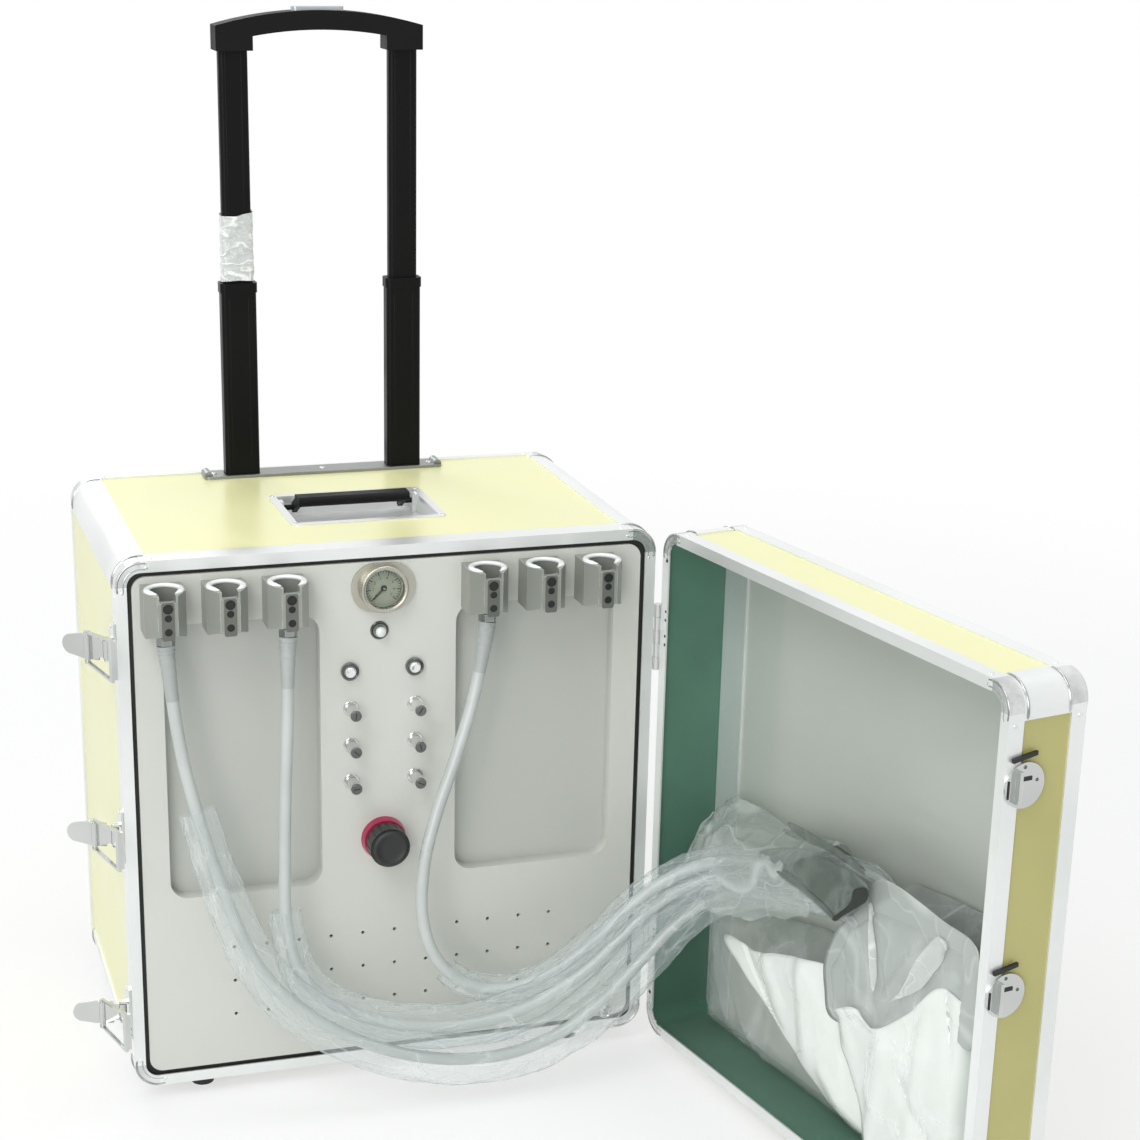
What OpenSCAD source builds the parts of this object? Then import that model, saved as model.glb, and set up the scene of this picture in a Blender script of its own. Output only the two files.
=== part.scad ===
// Portable dental unit: a trolley case whose open door shows a control panel.
// Origin: centre of the case's bottom face. +Z up, the panel faces -Y.

/* [Case] */
// Width of the case over its frames
case_w = 480; // [460:5:520]
// Depth of the case from front frame to back frame
case_d = 305; // [290:5:340]
// Height of the case over its frames
case_h = 490; // [475:5:540]
// Outer radius of the rounded edges of case and door
edge_r = 22; // [19:1:26]
// Wall of the aluminium profiles
rail_t = 1.6; // [1.2:0.1:2]
// How far an edge rail reaches past the round of its edge
rail_flange = 6; // [4:1:9]
// Thickness of the laminated boards
board_t = 4; // [3:0.5:5]
// Width of a frame's lip, seen from the front
lip_w = 10; // [9:0.5:12]
// How far the case's front frame reaches over the boards
front_flange = 22; // [16:1:28]
// How far the case's back frame reaches over the boards
back_flange = 9; // [6:0.5:10]
// Height of a rubber foot
foot_h = 15; // [10:1:20]
// Radius of a rubber foot at its top
foot_r = 12; // [9:1:14]

/* [Door] */
// Depth of the door from its rim to its outer face
door_t = 72; // [68:1:84]
// Width of the profile along each edge of the door's sides
door_flange = 14; // [10:1:18]
// Gap between the rims when the door is shut
door_gap = 1; // [0.6:0.1:1.5]
// Angle that the door stands open at
door_open = 101; // [90:1:110]
// Distance from the case's side to the hinge axis
hinge_out = 4; // [4:0.1:5]
// Length of one hinge
hinge_len = 62; // [50:1:70]
// Distance from the middle of the case up and down to a hinge
hinge_spread = 143.5; // [130:0.5:150]
// Thickness of the green lining
liner_t = 1.2; // [0.8:0.1:1.6]
// Thickness of the door's grey inner panel
inner_panel_t = 1.6; // [1:0.2:2.4]

/* [Panel] */
// Dark gap between the front frame's lip and the panel
panel_gap = 4; // [3:0.5:5]
// Wall of the moulded panel
panel_t = 3; // [2:0.5:4]
// Depth of the two hose recesses
recess_d = 14; // [10:1:20]
// Bottom edge of the recesses
recess_z = 180; // [165:5:190]
// Distance from the top of the case down to the recesses
recess_drop = 58; // [56:1:70]
// Corner radius of the recesses
recess_r = 16; // [10:1:24]
// Width of the console between the recesses
console_w = 122; // [112:2:124]
// Distance between two columns of vent holes
vent_pitch_x = 29.4; // [26:0.2:31]
// Distance between two rows of vent holes
vent_pitch_z = 33; // [28:1:36]
// Radius of a vent hole
vent_r = 1.6; // [1:0.1:2.5]
// Height of the lowest row of vent holes
vent_z = 62; // [54:1:66]

/* [Holders] */
// Distance between two handpiece holders
holder_pitch = 52; // [48:0.5:53]
// Distance from the console's axis to the middle holder of a group
holder_offset = 140; // [138:0.5:142]
// Width of a holder
holder_w = 35; // [33:0.5:38]
// How far a holder stands out of the panel
holder_d = 41; // [38:0.5:44]
// Height of a holder
holder_h = 40; // [36:1:46]
// Distance from the top of the case down to the holders
holder_drop = 20; // [18:1:24]
// Radius of a holder's cup
cup_r = 12.5; // [11:0.1:13]
// Depth of a holder's cup
cup_d = 32; // [28:1:33]

/* [Controls] */
// Radius of a valve knob
knob_r = 5.2; // [4.6:0.1:6.5]
// Length of a valve knob
knob_len = 20; // [16:1:24]
// Distance between two valve knobs of a column
knob_pitch = 34; // [30:1:36]
// Distance between the two columns of knobs
knob_columns = 58; // [50:1:62]
// Distance from the top of the case down to the lowest valve knobs
knob_drop = 214; // [212:1:220]
// Radius of the red collar of the pressure regulator
collar_r = 20.5; // [18:0.5:22]
// Radius of the regulator's black knob
regulator_r = 18; // [15:0.5:19]
// Length of the regulator's black knob
regulator_len = 20; // [16:1:22]
// Distance from the top of the case down to the regulator
regulator_drop = 271; // [266:1:276]
// Width of the gauge's oval flange
gauge_w = 56; // [50:1:60]
// Height of the gauge's oval flange
gauge_h = 44; // [42:1:48]
// Radius of the gauge's glass
gauge_r = 17.5; // [15:0.5:18.5]
// Distance from the top of the case down to the gauge
gauge_drop = 37; // [35:1:42]
// Radius of a push button
button_r = 4.6; // [4:0.1:5.5]
// Travel of a push button
button_travel = 2; // [1:0.5:2.5]

/* [Trolley handle] */
// Distance from the middle to a handle tube
tube_x = 79; // [70:1:90]
// Width of the lower tube
lower_w = 33; // [30:0.5:36]
// Depth of the lower tube
lower_d = 18; // [16:0.5:20]
// Width of the upper tube
upper_w = 27; // [24:0.5:28]
// Depth of the upper tube
upper_d = 13; // [11:0.5:14]
// Wall of the handle tubes
tube_t = 1.5; // [1:0.1:1.8]
// Height of the lower tube over the case
lower_out = 183; // [150:1:220]
// Height of the upper tube over the lower one
upper_out = 223; // [180:1:240]
// Length of tube that stays inside the next one
tube_in = 55; // [40:1:70]
// Depth of the hand grip of the trolley handle
grip_d = 26; // [20:1:30]

/* [Carry handle] */
// Width of the tray of the carry handle
tray_w = 144; // [130:2:150]
// Depth of the tray of the carry handle
tray_d = 110; // [100:2:116]
// How deep the tray is sunk
tray_sink = 18; // [16:1:24]
// Length of the black bar
bar_w = 104; // [90:2:110]

/* [Latches] */
// Distance between two latches
latch_pitch = 170; // [150:2:180]
// Distance from the middle of the case down to the middle latch
latch_drop = 3; // [0:1:8]
// Length of a latch lever
lever_len = 44; // [38:1:48]
// Radius of a catch plate on the door
keeper_r = 18; // [15:0.5:20]

/* [Wheels] */
// Radius of a wheel
wheel_r = 24; // [20:1:28]
// Width of a wheel
wheel_w = 18; // [14:1:24]

/* [Hoses] */
// Diameter of a hose
hose_od = 11; // [9:0.5:12]

/* [Hidden] */
$fn = 48;
eps = 0.01;

// Planes of the case
front_y = -case_d / 2;
back_y = case_d / 2;
mid_z = case_h / 2;
skin = rail_t + board_t;
inner_r = edge_r - skin;
foot_in = 65;
foot_x = case_w / 2 - foot_in;
foot_front = 28;
foot_back = 40;
foot_gap = 3;
foot_plug_r = 5.5;

// Panel: its face stands a little behind the lip's face
panel_inset = lip_w + panel_gap;
panel_set = 1;
panel_y = front_y + panel_set;
panel_back_y = panel_y + panel_t;
panel_w = case_w - 2 * panel_inset;
panel_h = case_h - 2 * panel_inset;
panel_r = edge_r - panel_gap - 6;
axis_x = -10;
console_x = -5;
recess_margin = 24;
recess_h = case_h - recess_drop - recess_z;
seal_t = 4;
seal_w = 11;
mount_d = 12;
mount_w = 14;
vent_columns = 11;
vent_rows = 3;

// Controls
stem_r = 3;
stem_len = 10;
turn_fit = 0.06;
knob_gap = 1.5;
collar_len = 7;
collar_draft = 1.5;
regulator_stem_r = 4;
knob_z = case_h - knob_drop;
regulator_z = case_h - regulator_drop;
button_drop = 111;
button_z = case_h - button_drop;
lamp_drop = 76;
lamp_z = case_h - lamp_drop;
lamp_r = 4;
lamp_len = 6;
gauge_z = case_h - gauge_drop;
bezel_r = 8;
bezel_len = 4;
dial_t = 1;
glass_t = 1.2;
gauge_len = 10;
flange_t = 3;

// Holders
chamfer_w = 9;
chamfer_d = 15;
holder_z = case_h - holder_drop;
cup_out = 22;
cup_y = panel_y - cup_out;
underside_rise = 5;
notch_w = 14;
notch_d = 6;
plug_sizes = [[7, 3.4], [15, 2.2], [27, 2.4]];
plug_t = 0.8;
fitting_r = 8;
fitting_len = 7;

// Hinges
pivot_x = case_w / 2 + hinge_out;
pivot_y = front_y - door_gap / 2;
knuckle_r = 3.5;
leaf_t = 1.5;
leaf_w = 22;
hinge_pin_r = 1.5;
knuckles = 5;
knuckle_gap = 0.3;

// Door, drawn shut
rim_y = front_y - door_gap;
door_out_y = rim_y - door_t;
liner_out_y = door_out_y + skin;
strip_w = 35;
strip_t = 2;
strip_gap = 0.3;
pouch_wall = 1;
pouch_gap = 0.3;

// Pouches: how far from the hinge side they start and end, how high they reach, and where they stand in the door
left_pouch = [50, 225];
left_pouch_bulge = 282;
left_pouch_h = 178;
left_pouch_deep = 32;
left_bulge_deep = 46;
right_pouch = [288, 446];
right_pouch_h = 262;
right_pouch_deep = 19;
mouth_x = 345;
mouth_z = 205;

// Trolley handle
tube_y = back_y - 22.5;
tube_r = 4;
slide_fit = 0.4;
sleeve_foot = 40;
saddle_h = 30;
saddle_drop = 90;
plate_t = 3;
plate_side = 21;
plate_z = case_h - rail_t;
lower_top = case_h + lower_out;
upper_top = lower_top + upper_out;
collar_h = 9;
grip_rise = 13;
grip_h = 22;
grip_side = 17;
grip_socket = 14;
button_w = 48;
button_d = 12;
button_stroke = 2.5;

// Carry handle
tray_y = -12;
tray_t = 1.2;
tray_lip = 6;
bar_d = 20;
bar_h = 9;
bar_arm = 20;
bar_pin_r = 2.5;
bar_pin_z = case_h - 8;
bar_pin_y = tray_y + tray_d / 2 - 19;
bar_z = case_h + 3;

// Latches: each lever stands open at its own angle from +X, and all hooks point past the rim
lever_open = [140, 152, 166];
lever_shut = 94;
hook_open = 289;
latch_plate_t = 2.4;
latch_plate_h = 24;
latch_tail = 22;
latch_tail_h = 9;
latch_out = 7;
latch_in = 12;
hub_r = 3.6;
hub_len = 16;
ear_t = 2.2;
ear_gap = 0.3;
latch_pin_r = 1.8;
hook_along = 18;
hook_off = 2.5;
hook_pin_r = 1.5;
hook_hub_r = 2.8;
hook_half = 12.2;
hook_spread = 17;
hook_arm_t = 2;
lever_t = 2;
lever_half = 11;
lever_tip_r = 9;
lever_taper = 24;
catch_in = 12;
catch_t = 3;
hook_catch = latch_in + hook_along + door_gap + catch_in;

// Couplings at the hoses' ends
coupling_r = 5;
coupling_len = 22;
coupling_rim = 0.8;
coupling_rim_len = 8;
nipple_r = 3.4;
nipple_len = 12;

// Wheels
wheel_in = 48;
wheel_x = case_w / 2 - wheel_in;
wheel_y = back_y + wheel_r + 3;
wheel_z = wheel_r - foot_h;
axle_r = 4;
cheek_t = 4;
cheek_gap = 1;
cheek_r = 12;
cheek_low = 4;
bracket_pad = 14;
bracket_pad_t = 4;

// Inside the case
pump_x = -95;
pump_w = 190;
pump_d = 100;
pump_foot = 6;
motor_r = 45;
motor_len = 120;
head_x = 74;
head_w = 36;
head_d = 56;
head_h = 110;
fin_pitch = 6;
tank_x = 110;
tank_y = 10;
tank_r = 58;
tank_h = 240;
bottle_y = 100;
bottle_r = 30;
bottle_h = 180;
block_w = 90;
block_d = 30;
block_margin = 20;
regulator_body = 34;

// Hose routes: x, y from the panel side of the case, z; inside the door they follow its inner panel
hose_left_route = [
    [-202, -173.5, 422], [-201, -175, 405], [-197, -180, 357], [-190, -185, 309], [-179, -191, 260],
    [-165, -196, 209], [-151, -203, 166], [-132, -209, 127], [-101, -215, 91], [-58, -221, 61],
    [-9, -226, 40], [41, -230, 30], [91, -233, 32], [138, -235, 49], [177, -235, 78], [210, -234, 110],
    [241, -235, 142], [268, -247, 168], [287, -276, 185], [301, -316, 199], [311, -358, 211],
    [319, -400, 222], [326, -434, 219], [330, -448, 192], [331, -450, 140], [332, -454, 92],
    [335, -468, 58], [341, -495, 38], [348, -529, 42], [353, -555, 68], [355, -567, 100], [355, -567, 130]
];
hose_middle_route = [
    [-98, -173.5, 422], [-99, -175, 400], [-101, -180, 349], [-105, -185, 287], [-108, -191, 224],
    [-109, -197, 170], [-101, -203, 127], [-80, -209, 97], [-43, -216, 76], [5, -222, 64],
    [60, -227, 63], [114, -230, 78], [160, -232, 107], [199, -233, 144], [235, -236, 172],
    [266, -249, 190], [286, -277, 203], [301, -318, 215], [312, -360, 227], [327, -399, 236],
    [338, -432, 232], [342, -446, 200], [343, -447, 145], [344, -451, 95], [347, -465, 60],
    [353, -492, 40], [360, -526, 44], [365, -552, 70], [367, -564, 102], [367, -564, 130]
];
hose_right_route = [
    [78, -173.5, 422], [75, -175, 400], [64, -179, 351], [48, -183, 302], [30, -188, 255],
    [17, -194, 210], [13, -200, 165], [22, -206, 126], [47, -212, 98], [87, -218, 88], [131, -223, 104],
    [170, -228, 135], [203, -231, 166], [236, -236, 189], [265, -250, 205], [286, -279, 218],
    [302, -320, 230], [317, -361, 241], [337, -397, 250], [350, -429, 246], [354, -443, 215],
    [355, -444, 150], [356, -448, 97], [359, -462, 61], [365, -489, 40], [372, -523, 44],
    [377, -550, 70], [379, -562, 102], [379, -562, 130]
];
hose_sides = 10;
fitting_low = holder_z - holder_h - fitting_len;
hang_low = 150;
hang_y = -212;

// ---------- Shapes that repeat ----------

// A rectangle with round corners, centred on the origin
module rounded_rect(w, h, r) {
    square([w - 2 * r, h], center = true);
    square([w, h - 2 * r], center = true);
    for (sx = [-1, 1], sy = [-1, 1]) translate([sx * (w / 2 - r), sy * (h / 2 - r)]) circle(r);
}

// Stands a flat outline up: its y becomes z, and it is solid from y0 to y1
module upright(y0, y1) {
    translate([0, y1, 0]) rotate([90, 0, 0]) linear_extrude(y1 - y0) children();
}

// A round bar that points along -Y, from y0 forward over len
module forward(r, len) {
    rotate([90, 0, 0]) cylinder(r = r, h = len);
}

// Four straight bars of a frame round the case's outline; the lip is at y = 0, the flange along +Y
module frame_bars(flange) {
    long_w = case_w - 2 * edge_r;
    long_h = case_h - 2 * edge_r;
    for (side = [-1, 1]) {
        upright(0, flange) translate([0, side * (case_h - rail_t) / 2]) square([long_w, rail_t], center = true);
        upright(0, rail_t) translate([0, side * (case_h - lip_w) / 2]) square([long_w, lip_w], center = true);
        upright(0, flange) translate([side * (case_w - rail_t) / 2, 0]) square([rail_t, long_h], center = true);
        upright(0, rail_t) translate([side * (case_w - lip_w) / 2, 0]) square([lip_w, long_h], center = true);
    }
}

// The four corner castings of such a frame
module frame_corners(flange) {
    quarter = [[1, 1, 0], [-1, 1, 90], [-1, -1, 180], [1, -1, 270]];
    for (q = quarter)
        translate([q[0] * (case_w / 2 - edge_r), 0, q[1] * (case_h / 2 - edge_r)])
            rotate([90, 0, 0]) rotate([0, 0, q[2]]) rotate_extrude(angle = 90) {
                translate([edge_r - rail_t, -flange]) square([rail_t, flange]);
                translate([edge_r - lip_w, -rail_t]) square([lip_w, rail_t]);
            }
}

// The four rounded rails along the case's depth, from y0 to y1
module edge_rails(y0, y1) {
    for (sx = [-1, 1], sz = [-1, 1])
        upright(y0, y1) translate([sx * (case_w / 2 - edge_r), sz * (case_h / 2 - edge_r)])
            mirror([sx < 0 ? 1 : 0, 0]) mirror([0, sz < 0 ? 1 : 0]) {
                intersection() {
                    difference() {
                        circle(edge_r);
                        circle(edge_r - rail_t);
                    }
                    square(edge_r);
                }
                translate([-rail_flange, edge_r - rail_t]) square([rail_flange, rail_t]);
                translate([edge_r - rail_t, -rail_flange]) square([rail_t, rail_flange]);
            }
}

// A board between the rails on the left (-1) or right (1), from y0 to y1
module side_board(side, y0, y1) {
    upright(y0, y1) translate([side * (case_w / 2 - rail_t - board_t / 2), 0])
        square([board_t, case_h - 2 * edge_r], center = true);
}

// A board between the rails at the bottom (-1) or top (1), from y0 to y1
module flat_board(side, y0, y1) {
    upright(y0, y1) translate([0, side * (case_h / 2 - rail_t - board_t / 2)])
        square([case_w - 2 * edge_r, board_t], center = true);
}

// The board that closes a shell, from y0 to y1
module end_board(y0, y1) {
    upright(y0, y1) rounded_rect(case_w - 2 * skin, case_h - 2 * skin, inner_r);
}

// Puts what is drawn on the shut door where the open door holds it
module on_door() {
    translate([pivot_x, pivot_y, 0]) rotate([0, 0, door_open]) translate([-pivot_x, -pivot_y, 0]) children();
}

// A box inside the shut door: from the hinge side, up, and in from the rim
module in_door(along, up, deep) {
    translate([case_w / 2 - along[1], rim_y - deep[1], up[0]])
        cube([along[1] - along[0], deep[1] - deep[0], up[1] - up[0]]);
}

// ---------- Case ----------

module case_top_board() {
    color("khaki") difference() {
        translate([0, 0, mid_z]) flat_board(1, front_y + rail_t, back_y - rail_t);
        translate([-tray_w / 2 + tray_lip, tray_y - tray_d / 2 + tray_lip, case_h - 2 * skin])
            cube([tray_w - 2 * tray_lip, tray_d - 2 * tray_lip, 2 * skin]);
        for (side = [-1, 1])
            translate([side * tube_x, tube_y, case_h - 2 * skin])
                linear_extrude(2 * skin) rounded_rect(sleeve_w, sleeve_d, tube_r + tube_t);
    }
}

module case_boards() {
    color("khaki") translate([0, 0, mid_z]) {
        flat_board(-1, front_y + rail_t, back_y - rail_t);
        // the middle of the base board is thicker, flush with the profiles, and the feet stand beside it
        upright(front_y + front_flange, back_y - back_flange) translate([0, (rail_t - case_h) / 2])
            square([2 * (foot_x - foot_r - foot_gap), rail_t], center = true);
        for (side = [-1, 1]) side_board(side, front_y + rail_t, back_y - rail_t);
        end_board(back_y - skin, back_y - rail_t);
    }
}

module case_frames() {
    color("silver") {
        translate([0, front_y, mid_z]) frame_bars(front_flange);
        translate([0, back_y, mid_z]) mirror([0, 1, 0]) frame_bars(back_flange);
    }
}

module case_edge_rails() {
    color("silver") translate([0, 0, mid_z]) edge_rails(front_y + front_flange, back_y - back_flange);
}

module case_corner_castings() {
    color("gainsboro") {
        translate([0, front_y, mid_z]) frame_corners(front_flange);
        translate([0, back_y, mid_z]) mirror([0, 1, 0]) frame_corners(back_flange);
    }
}

module rubber_feet() {
    color("dimgray") for (sx = [-1, 1], y = [front_y + foot_front, back_y - foot_back])
        translate([sx * foot_x, y, 0]) {
            translate([0, 0, -foot_h]) cylinder(r1 = foot_r - 2, r2 = foot_r, h = foot_h);
            cylinder(r = foot_plug_r, h = rail_t);
        }
}

// ---------- Panel ----------

// Outline of the hose recess on the left (-1) or right (1) of the console
module recess_outline(side) {
    inner = console_x + side * console_w / 2;
    outer = side * (panel_w / 2 - recess_margin);
    w = abs(outer - inner);
    translate([(inner + outer) / 2, recess_z + recess_h / 2 - mid_z]) rounded_rect(w, recess_h, recess_r);
}

// The same outline, wider by the panel's wall
module recess_wall_outline(side) {
    inner = console_x + side * console_w / 2;
    outer = side * (panel_w / 2 - recess_margin);
    w = abs(outer - inner) + 2 * panel_t;
    translate([(inner + outer) / 2, recess_z + recess_h / 2 - mid_z])
        rounded_rect(w, recess_h + 2 * panel_t, recess_r + panel_t);
}

module front_panel() {
    tray_back = panel_y + recess_d + panel_t;
    color("gainsboro") translate([0, 0, mid_z]) difference() {
        union() {
            upright(panel_y, panel_back_y) rounded_rect(panel_w, panel_h, panel_r);
            for (side = [-1, 1]) upright(panel_y, tray_back) recess_wall_outline(side);
        }
        for (side = [-1, 1]) upright(panel_y - 1, panel_y + recess_d) recess_outline(side);
        for (column = [0:vent_columns - 1], row = [0:vent_rows - 1])
            translate([(column - (vent_columns - 1) / 2) * vent_pitch_x, panel_back_y + 1,
                       vent_z + row * vent_pitch_z - mid_z])
                forward(vent_r, panel_t + 2);
    }
}

module panel_seal() {
    outer = lip_w - 4;
    color("dimgray") translate([0, 0, mid_z]) upright(panel_back_y, panel_back_y + seal_t) difference() {
        rounded_rect(case_w - 2 * outer, case_h - 2 * outer, edge_r - outer);
        rounded_rect(case_w - 2 * (outer + seal_w), case_h - 2 * (outer + seal_w), panel_r - 2);
    }
}

// Four battens on the boards, which the seal and the panel rest on
module panel_mount_frame() {
    y0 = panel_back_y + seal_t;
    color("darkgray") translate([0, 0, mid_z]) for (side = [-1, 1]) {
        upright(y0, y0 + mount_d) translate([0, side * (case_h / 2 - skin - mount_w / 2)])
            square([case_w - 2 * edge_r, mount_w], center = true);
        upright(y0, y0 + mount_d) translate([side * (case_w / 2 - skin - mount_w / 2), 0])
            square([mount_w, case_h - 2 * edge_r - 2 * mount_w], center = true);
    }
}

// Small metal parts fixed on the panel: valve stems, bezels, lamp, hose fittings and the panel's fastener
module panel_fittings() {
    color("lightgray") {
        for (side = [-1, 1], row = [0:2])
            translate([axis_x + side * knob_columns / 2, panel_y, knob_z + row * knob_pitch])
                forward(stem_r, stem_len);
        translate([axis_x, panel_y - collar_len, regulator_z]) forward(regulator_stem_r, stem_len);
        for (side = [-1, 1])
            translate([axis_x + side * knob_columns / 2 - 1, panel_y, button_z]) difference() {
                forward(bezel_r, bezel_len);
                forward(button_r + 0.3, bezel_len + 1);
            }
        translate([axis_x - 3, panel_y, lamp_z]) {
            forward(lamp_r + 2, 2);
            forward(lamp_r, lamp_len);
        }
        for (x = fitting_xs) translate([x, cup_y, holder_z - holder_h - fitting_len])
            cylinder(r = fitting_r, h = fitting_len, $fn = 6);
        translate([panel_w / 2 - 21, panel_y, 18]) {
            forward(5, 2);
            forward(3, 3);
        }
    }
}

// Middle of each holder; the left, the third and the fourth also carry a hose
holder_xs = [for (side = [-1, 1], k = [-1, 0, 1]) axis_x + side * holder_offset + k * holder_pitch];
fitting_xs = [holder_xs[0], holder_xs[2], holder_xs[3]];

// Outline of a holder from above: flat at the panel, chamfered towards the front
module holder_outline() {
    polygon([
        [-holder_w / 2, 0], [-holder_w / 2, -holder_d + chamfer_d], [-holder_w / 2 + chamfer_w, -holder_d],
        [holder_w / 2 - chamfer_w, -holder_d], [holder_w / 2, -holder_d + chamfer_d], [holder_w / 2, 0]
    ]);
}

// A holder: a faceted block with a round cup that opens at the top and in a shallow notch at the front
module holder() {
    difference() {
        translate([0, panel_y, holder_z - holder_h]) linear_extrude(holder_h) holder_outline();
        translate([0, cup_y, holder_z - cup_d]) cylinder(r = cup_r, h = cup_d + 1);
        translate([-notch_w / 2, panel_y - holder_d - 1, holder_z - notch_d])
            cube([notch_w, holder_d - cup_out + 1, notch_d + 1]);
        // the underside rises towards the front
        translate([-holder_w, panel_y - holder_d, holder_z - holder_h + underside_rise]) rotate([-20, 0, 0])
            translate([0, -chamfer_d, -2 * chamfer_d]) cube([2 * holder_w, 3 * chamfer_d, 2 * chamfer_d]);
    }
}

module handpiece_holders() {
    color("whitesmoke") for (x = holder_xs) translate([x, 0, 0]) holder();
}

// Dark plugs on the front of each holder: the switch port and two screws
module holder_plugs() {
    color("black") for (x = holder_xs, plug = plug_sizes)
        translate([x, panel_y - holder_d, holder_z - notch_d - plug[0] + 2]) forward(plug[1], plug_t);
}

// ---------- Gauge, knobs and buttons ----------

module gauge_case() {
    color("lightgray") translate([axis_x, 0, gauge_z]) difference() {
        union() {
            upright(panel_y - flange_t, panel_y) rounded_rect(gauge_w, gauge_h, gauge_h / 2 - 1);
            translate([0, panel_y, 0]) forward(gauge_r + 3, gauge_len);
        }
        translate([0, panel_y - flange_t, 0]) forward(gauge_r, gauge_len);
    }
}

module gauge_dial() {
    color("white") translate([axis_x, panel_y - flange_t, gauge_z]) {
        forward(gauge_r - 0.2, dial_t);
        forward(1, dial_t + 3);
    }
}

module gauge_needle() {
    needle_y = panel_y - flange_t - dial_t - 0.6;
    color("black") translate([axis_x, needle_y, gauge_z]) difference() {
        union() {
            forward(2.4, 1.2);
            rotate([0, -135, 0]) translate([0, -1, 0]) linear_extrude(gauge_r - 4)
                translate([-0.6, 0]) square([1.2, 0.8]);
        }
        translate([0, 1, 0]) forward(1 + turn_fit, 5);
    }
}

module gauge_glass() {
    color("lightcyan") translate([axis_x, panel_y - gauge_len + glass_t + 0.5, gauge_z])
        forward(gauge_r - 0.1, glass_t);
}

// A push button in the bezel on the left (-1) or right (1)
module push_button(side) {
    translate([axis_x + side * knob_columns / 2 - 1, panel_y - button_travel - 0.3, button_z])
        forward(button_r, bezel_len);
}

// A valve knob on its stem: a plain barrel with a grip groove round its foot
module valve_knob(side, row) {
    translate([axis_x + side * knob_columns / 2, panel_y - knob_gap, knob_z + row * knob_pitch]) difference() {
        union() {
            forward(knob_r - 0.8, knob_len - 1);
            translate([0, -3, 0]) forward(knob_r, knob_len - 4);
            forward(knob_r, 2);
            translate([0, 1 - knob_len, 0]) forward(knob_r - 0.8, 1);
        }
        translate([0, 1, 0]) forward(stem_r + turn_fit, stem_len);
    }
}

module regulator_collar() {
    color("crimson") translate([axis_x, panel_y, regulator_z]) rotate([90, 0, 0])
        cylinder(r1 = collar_r, r2 = collar_r - collar_draft, h = collar_len);
}

module regulator_knob() {
    ribs = 16;
    color("black") translate([axis_x, panel_y - collar_len - 0.6, regulator_z]) difference() {
        union() {
            forward(regulator_r - 1, regulator_len);
            translate([0, -2, 0]) forward(regulator_r, regulator_len - 4);
        }
        translate([0, 1, 0]) forward(regulator_stem_r + turn_fit, stem_len + 1);
        for (k = [0:ribs - 1]) rotate([0, k * 360 / ribs, 0])
            translate([regulator_r + 1, -1, 0]) forward(1.9, regulator_len - 5);
    }
}

// ---------- Trolley handle ----------

sleeve_w = lower_w + 2 * tube_t + 2 * slide_fit;
sleeve_d = lower_d + 2 * tube_t + 2 * slide_fit;

// A pair of upright tubes from z0 to z1, w by d outside
module tube_pair(w, d, z0, z1) {
    for (side = [-1, 1]) translate([side * tube_x, tube_y, z0]) linear_extrude(z1 - z0) difference() {
        rounded_rect(w, d, tube_r);
        rounded_rect(w - 2 * tube_t, d - 2 * tube_t, tube_r - tube_t);
    }
}

module handle_sleeves() {
    color("dimgray") for (side = [-1, 1]) translate([side * tube_x, tube_y, 0]) {
        translate([0, 0, sleeve_foot]) linear_extrude(plate_z - sleeve_foot) difference() {
            rounded_rect(sleeve_w, sleeve_d, tube_r + tube_t);
            rounded_rect(sleeve_w - 2 * tube_t, sleeve_d - 2 * tube_t, tube_r);
        }
        // a saddle fixes each sleeve to the back board
        for (z = [sleeve_foot, case_h - saddle_drop]) translate([-sleeve_w / 2, sleeve_d / 2, z])
            cube([sleeve_w, back_y - skin - tube_y - sleeve_d / 2, saddle_h]);
    }
}

module handle_base_plate() {
    plate_w = 2 * tube_x + lower_w + 2 * plate_side;
    plate_d = 2 * (back_y - back_flange - tube_y) - 1;
    color("silver") difference() {
        union() {
            translate([0, tube_y, plate_z]) linear_extrude(plate_t) rounded_rect(plate_w, plate_d, 5);
            for (side = [-1, 1]) translate([side * (plate_w / 2 - 4), tube_y, plate_z])
                rotate([90, 0, 0]) translate([0, 0, -plate_d / 2 + 4]) linear_extrude(plate_d - 8)
                    intersection() {
                        translate([-4, 0]) square([8, 8]);
                        translate([0, plate_t]) circle(4);
                    }
        }
        for (side = [-1, 1]) translate([side * tube_x, tube_y, plate_z - 1]) linear_extrude(plate_t + 2)
            rounded_rect(lower_w + 2 * slide_fit, lower_d + 2 * slide_fit, tube_r + slide_fit);
    }
}

module handle_lower_tubes() {
    color("black") {
        tube_pair(lower_w, lower_d, case_h - tube_in, lower_top - collar_h);
        for (side = [-1, 1]) translate([side * tube_x, tube_y, lower_top - collar_h])
            linear_extrude(collar_h) difference() {
                rounded_rect(lower_w + 2, lower_d + 2, tube_r + 1);
                rounded_rect(upper_w + 2 * slide_fit, upper_d + 2 * slide_fit, tube_r + slide_fit);
            }
    }
}

module handle_upper_tubes() {
    color("black") tube_pair(upper_w, upper_d, lower_top - tube_in, upper_top);
}

// The grip is a flat arch over both tubes, with a socket round the top of each
grip_shoulder = upper_top + grip_h - grip_socket;
grip_bar = 17;

// A flat arch over the tubes, with its crown at z
module arch(z, w) {
    half = tube_x + grip_side;
    arch_r = (half * half + grip_rise * grip_rise) / (2 * grip_rise);
    intersection() {
        translate([0, z - arch_r]) circle(arch_r, $fn = 180);
        translate([-w / 2, z - arch_r]) square([w, arch_r]);
    }
}

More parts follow.
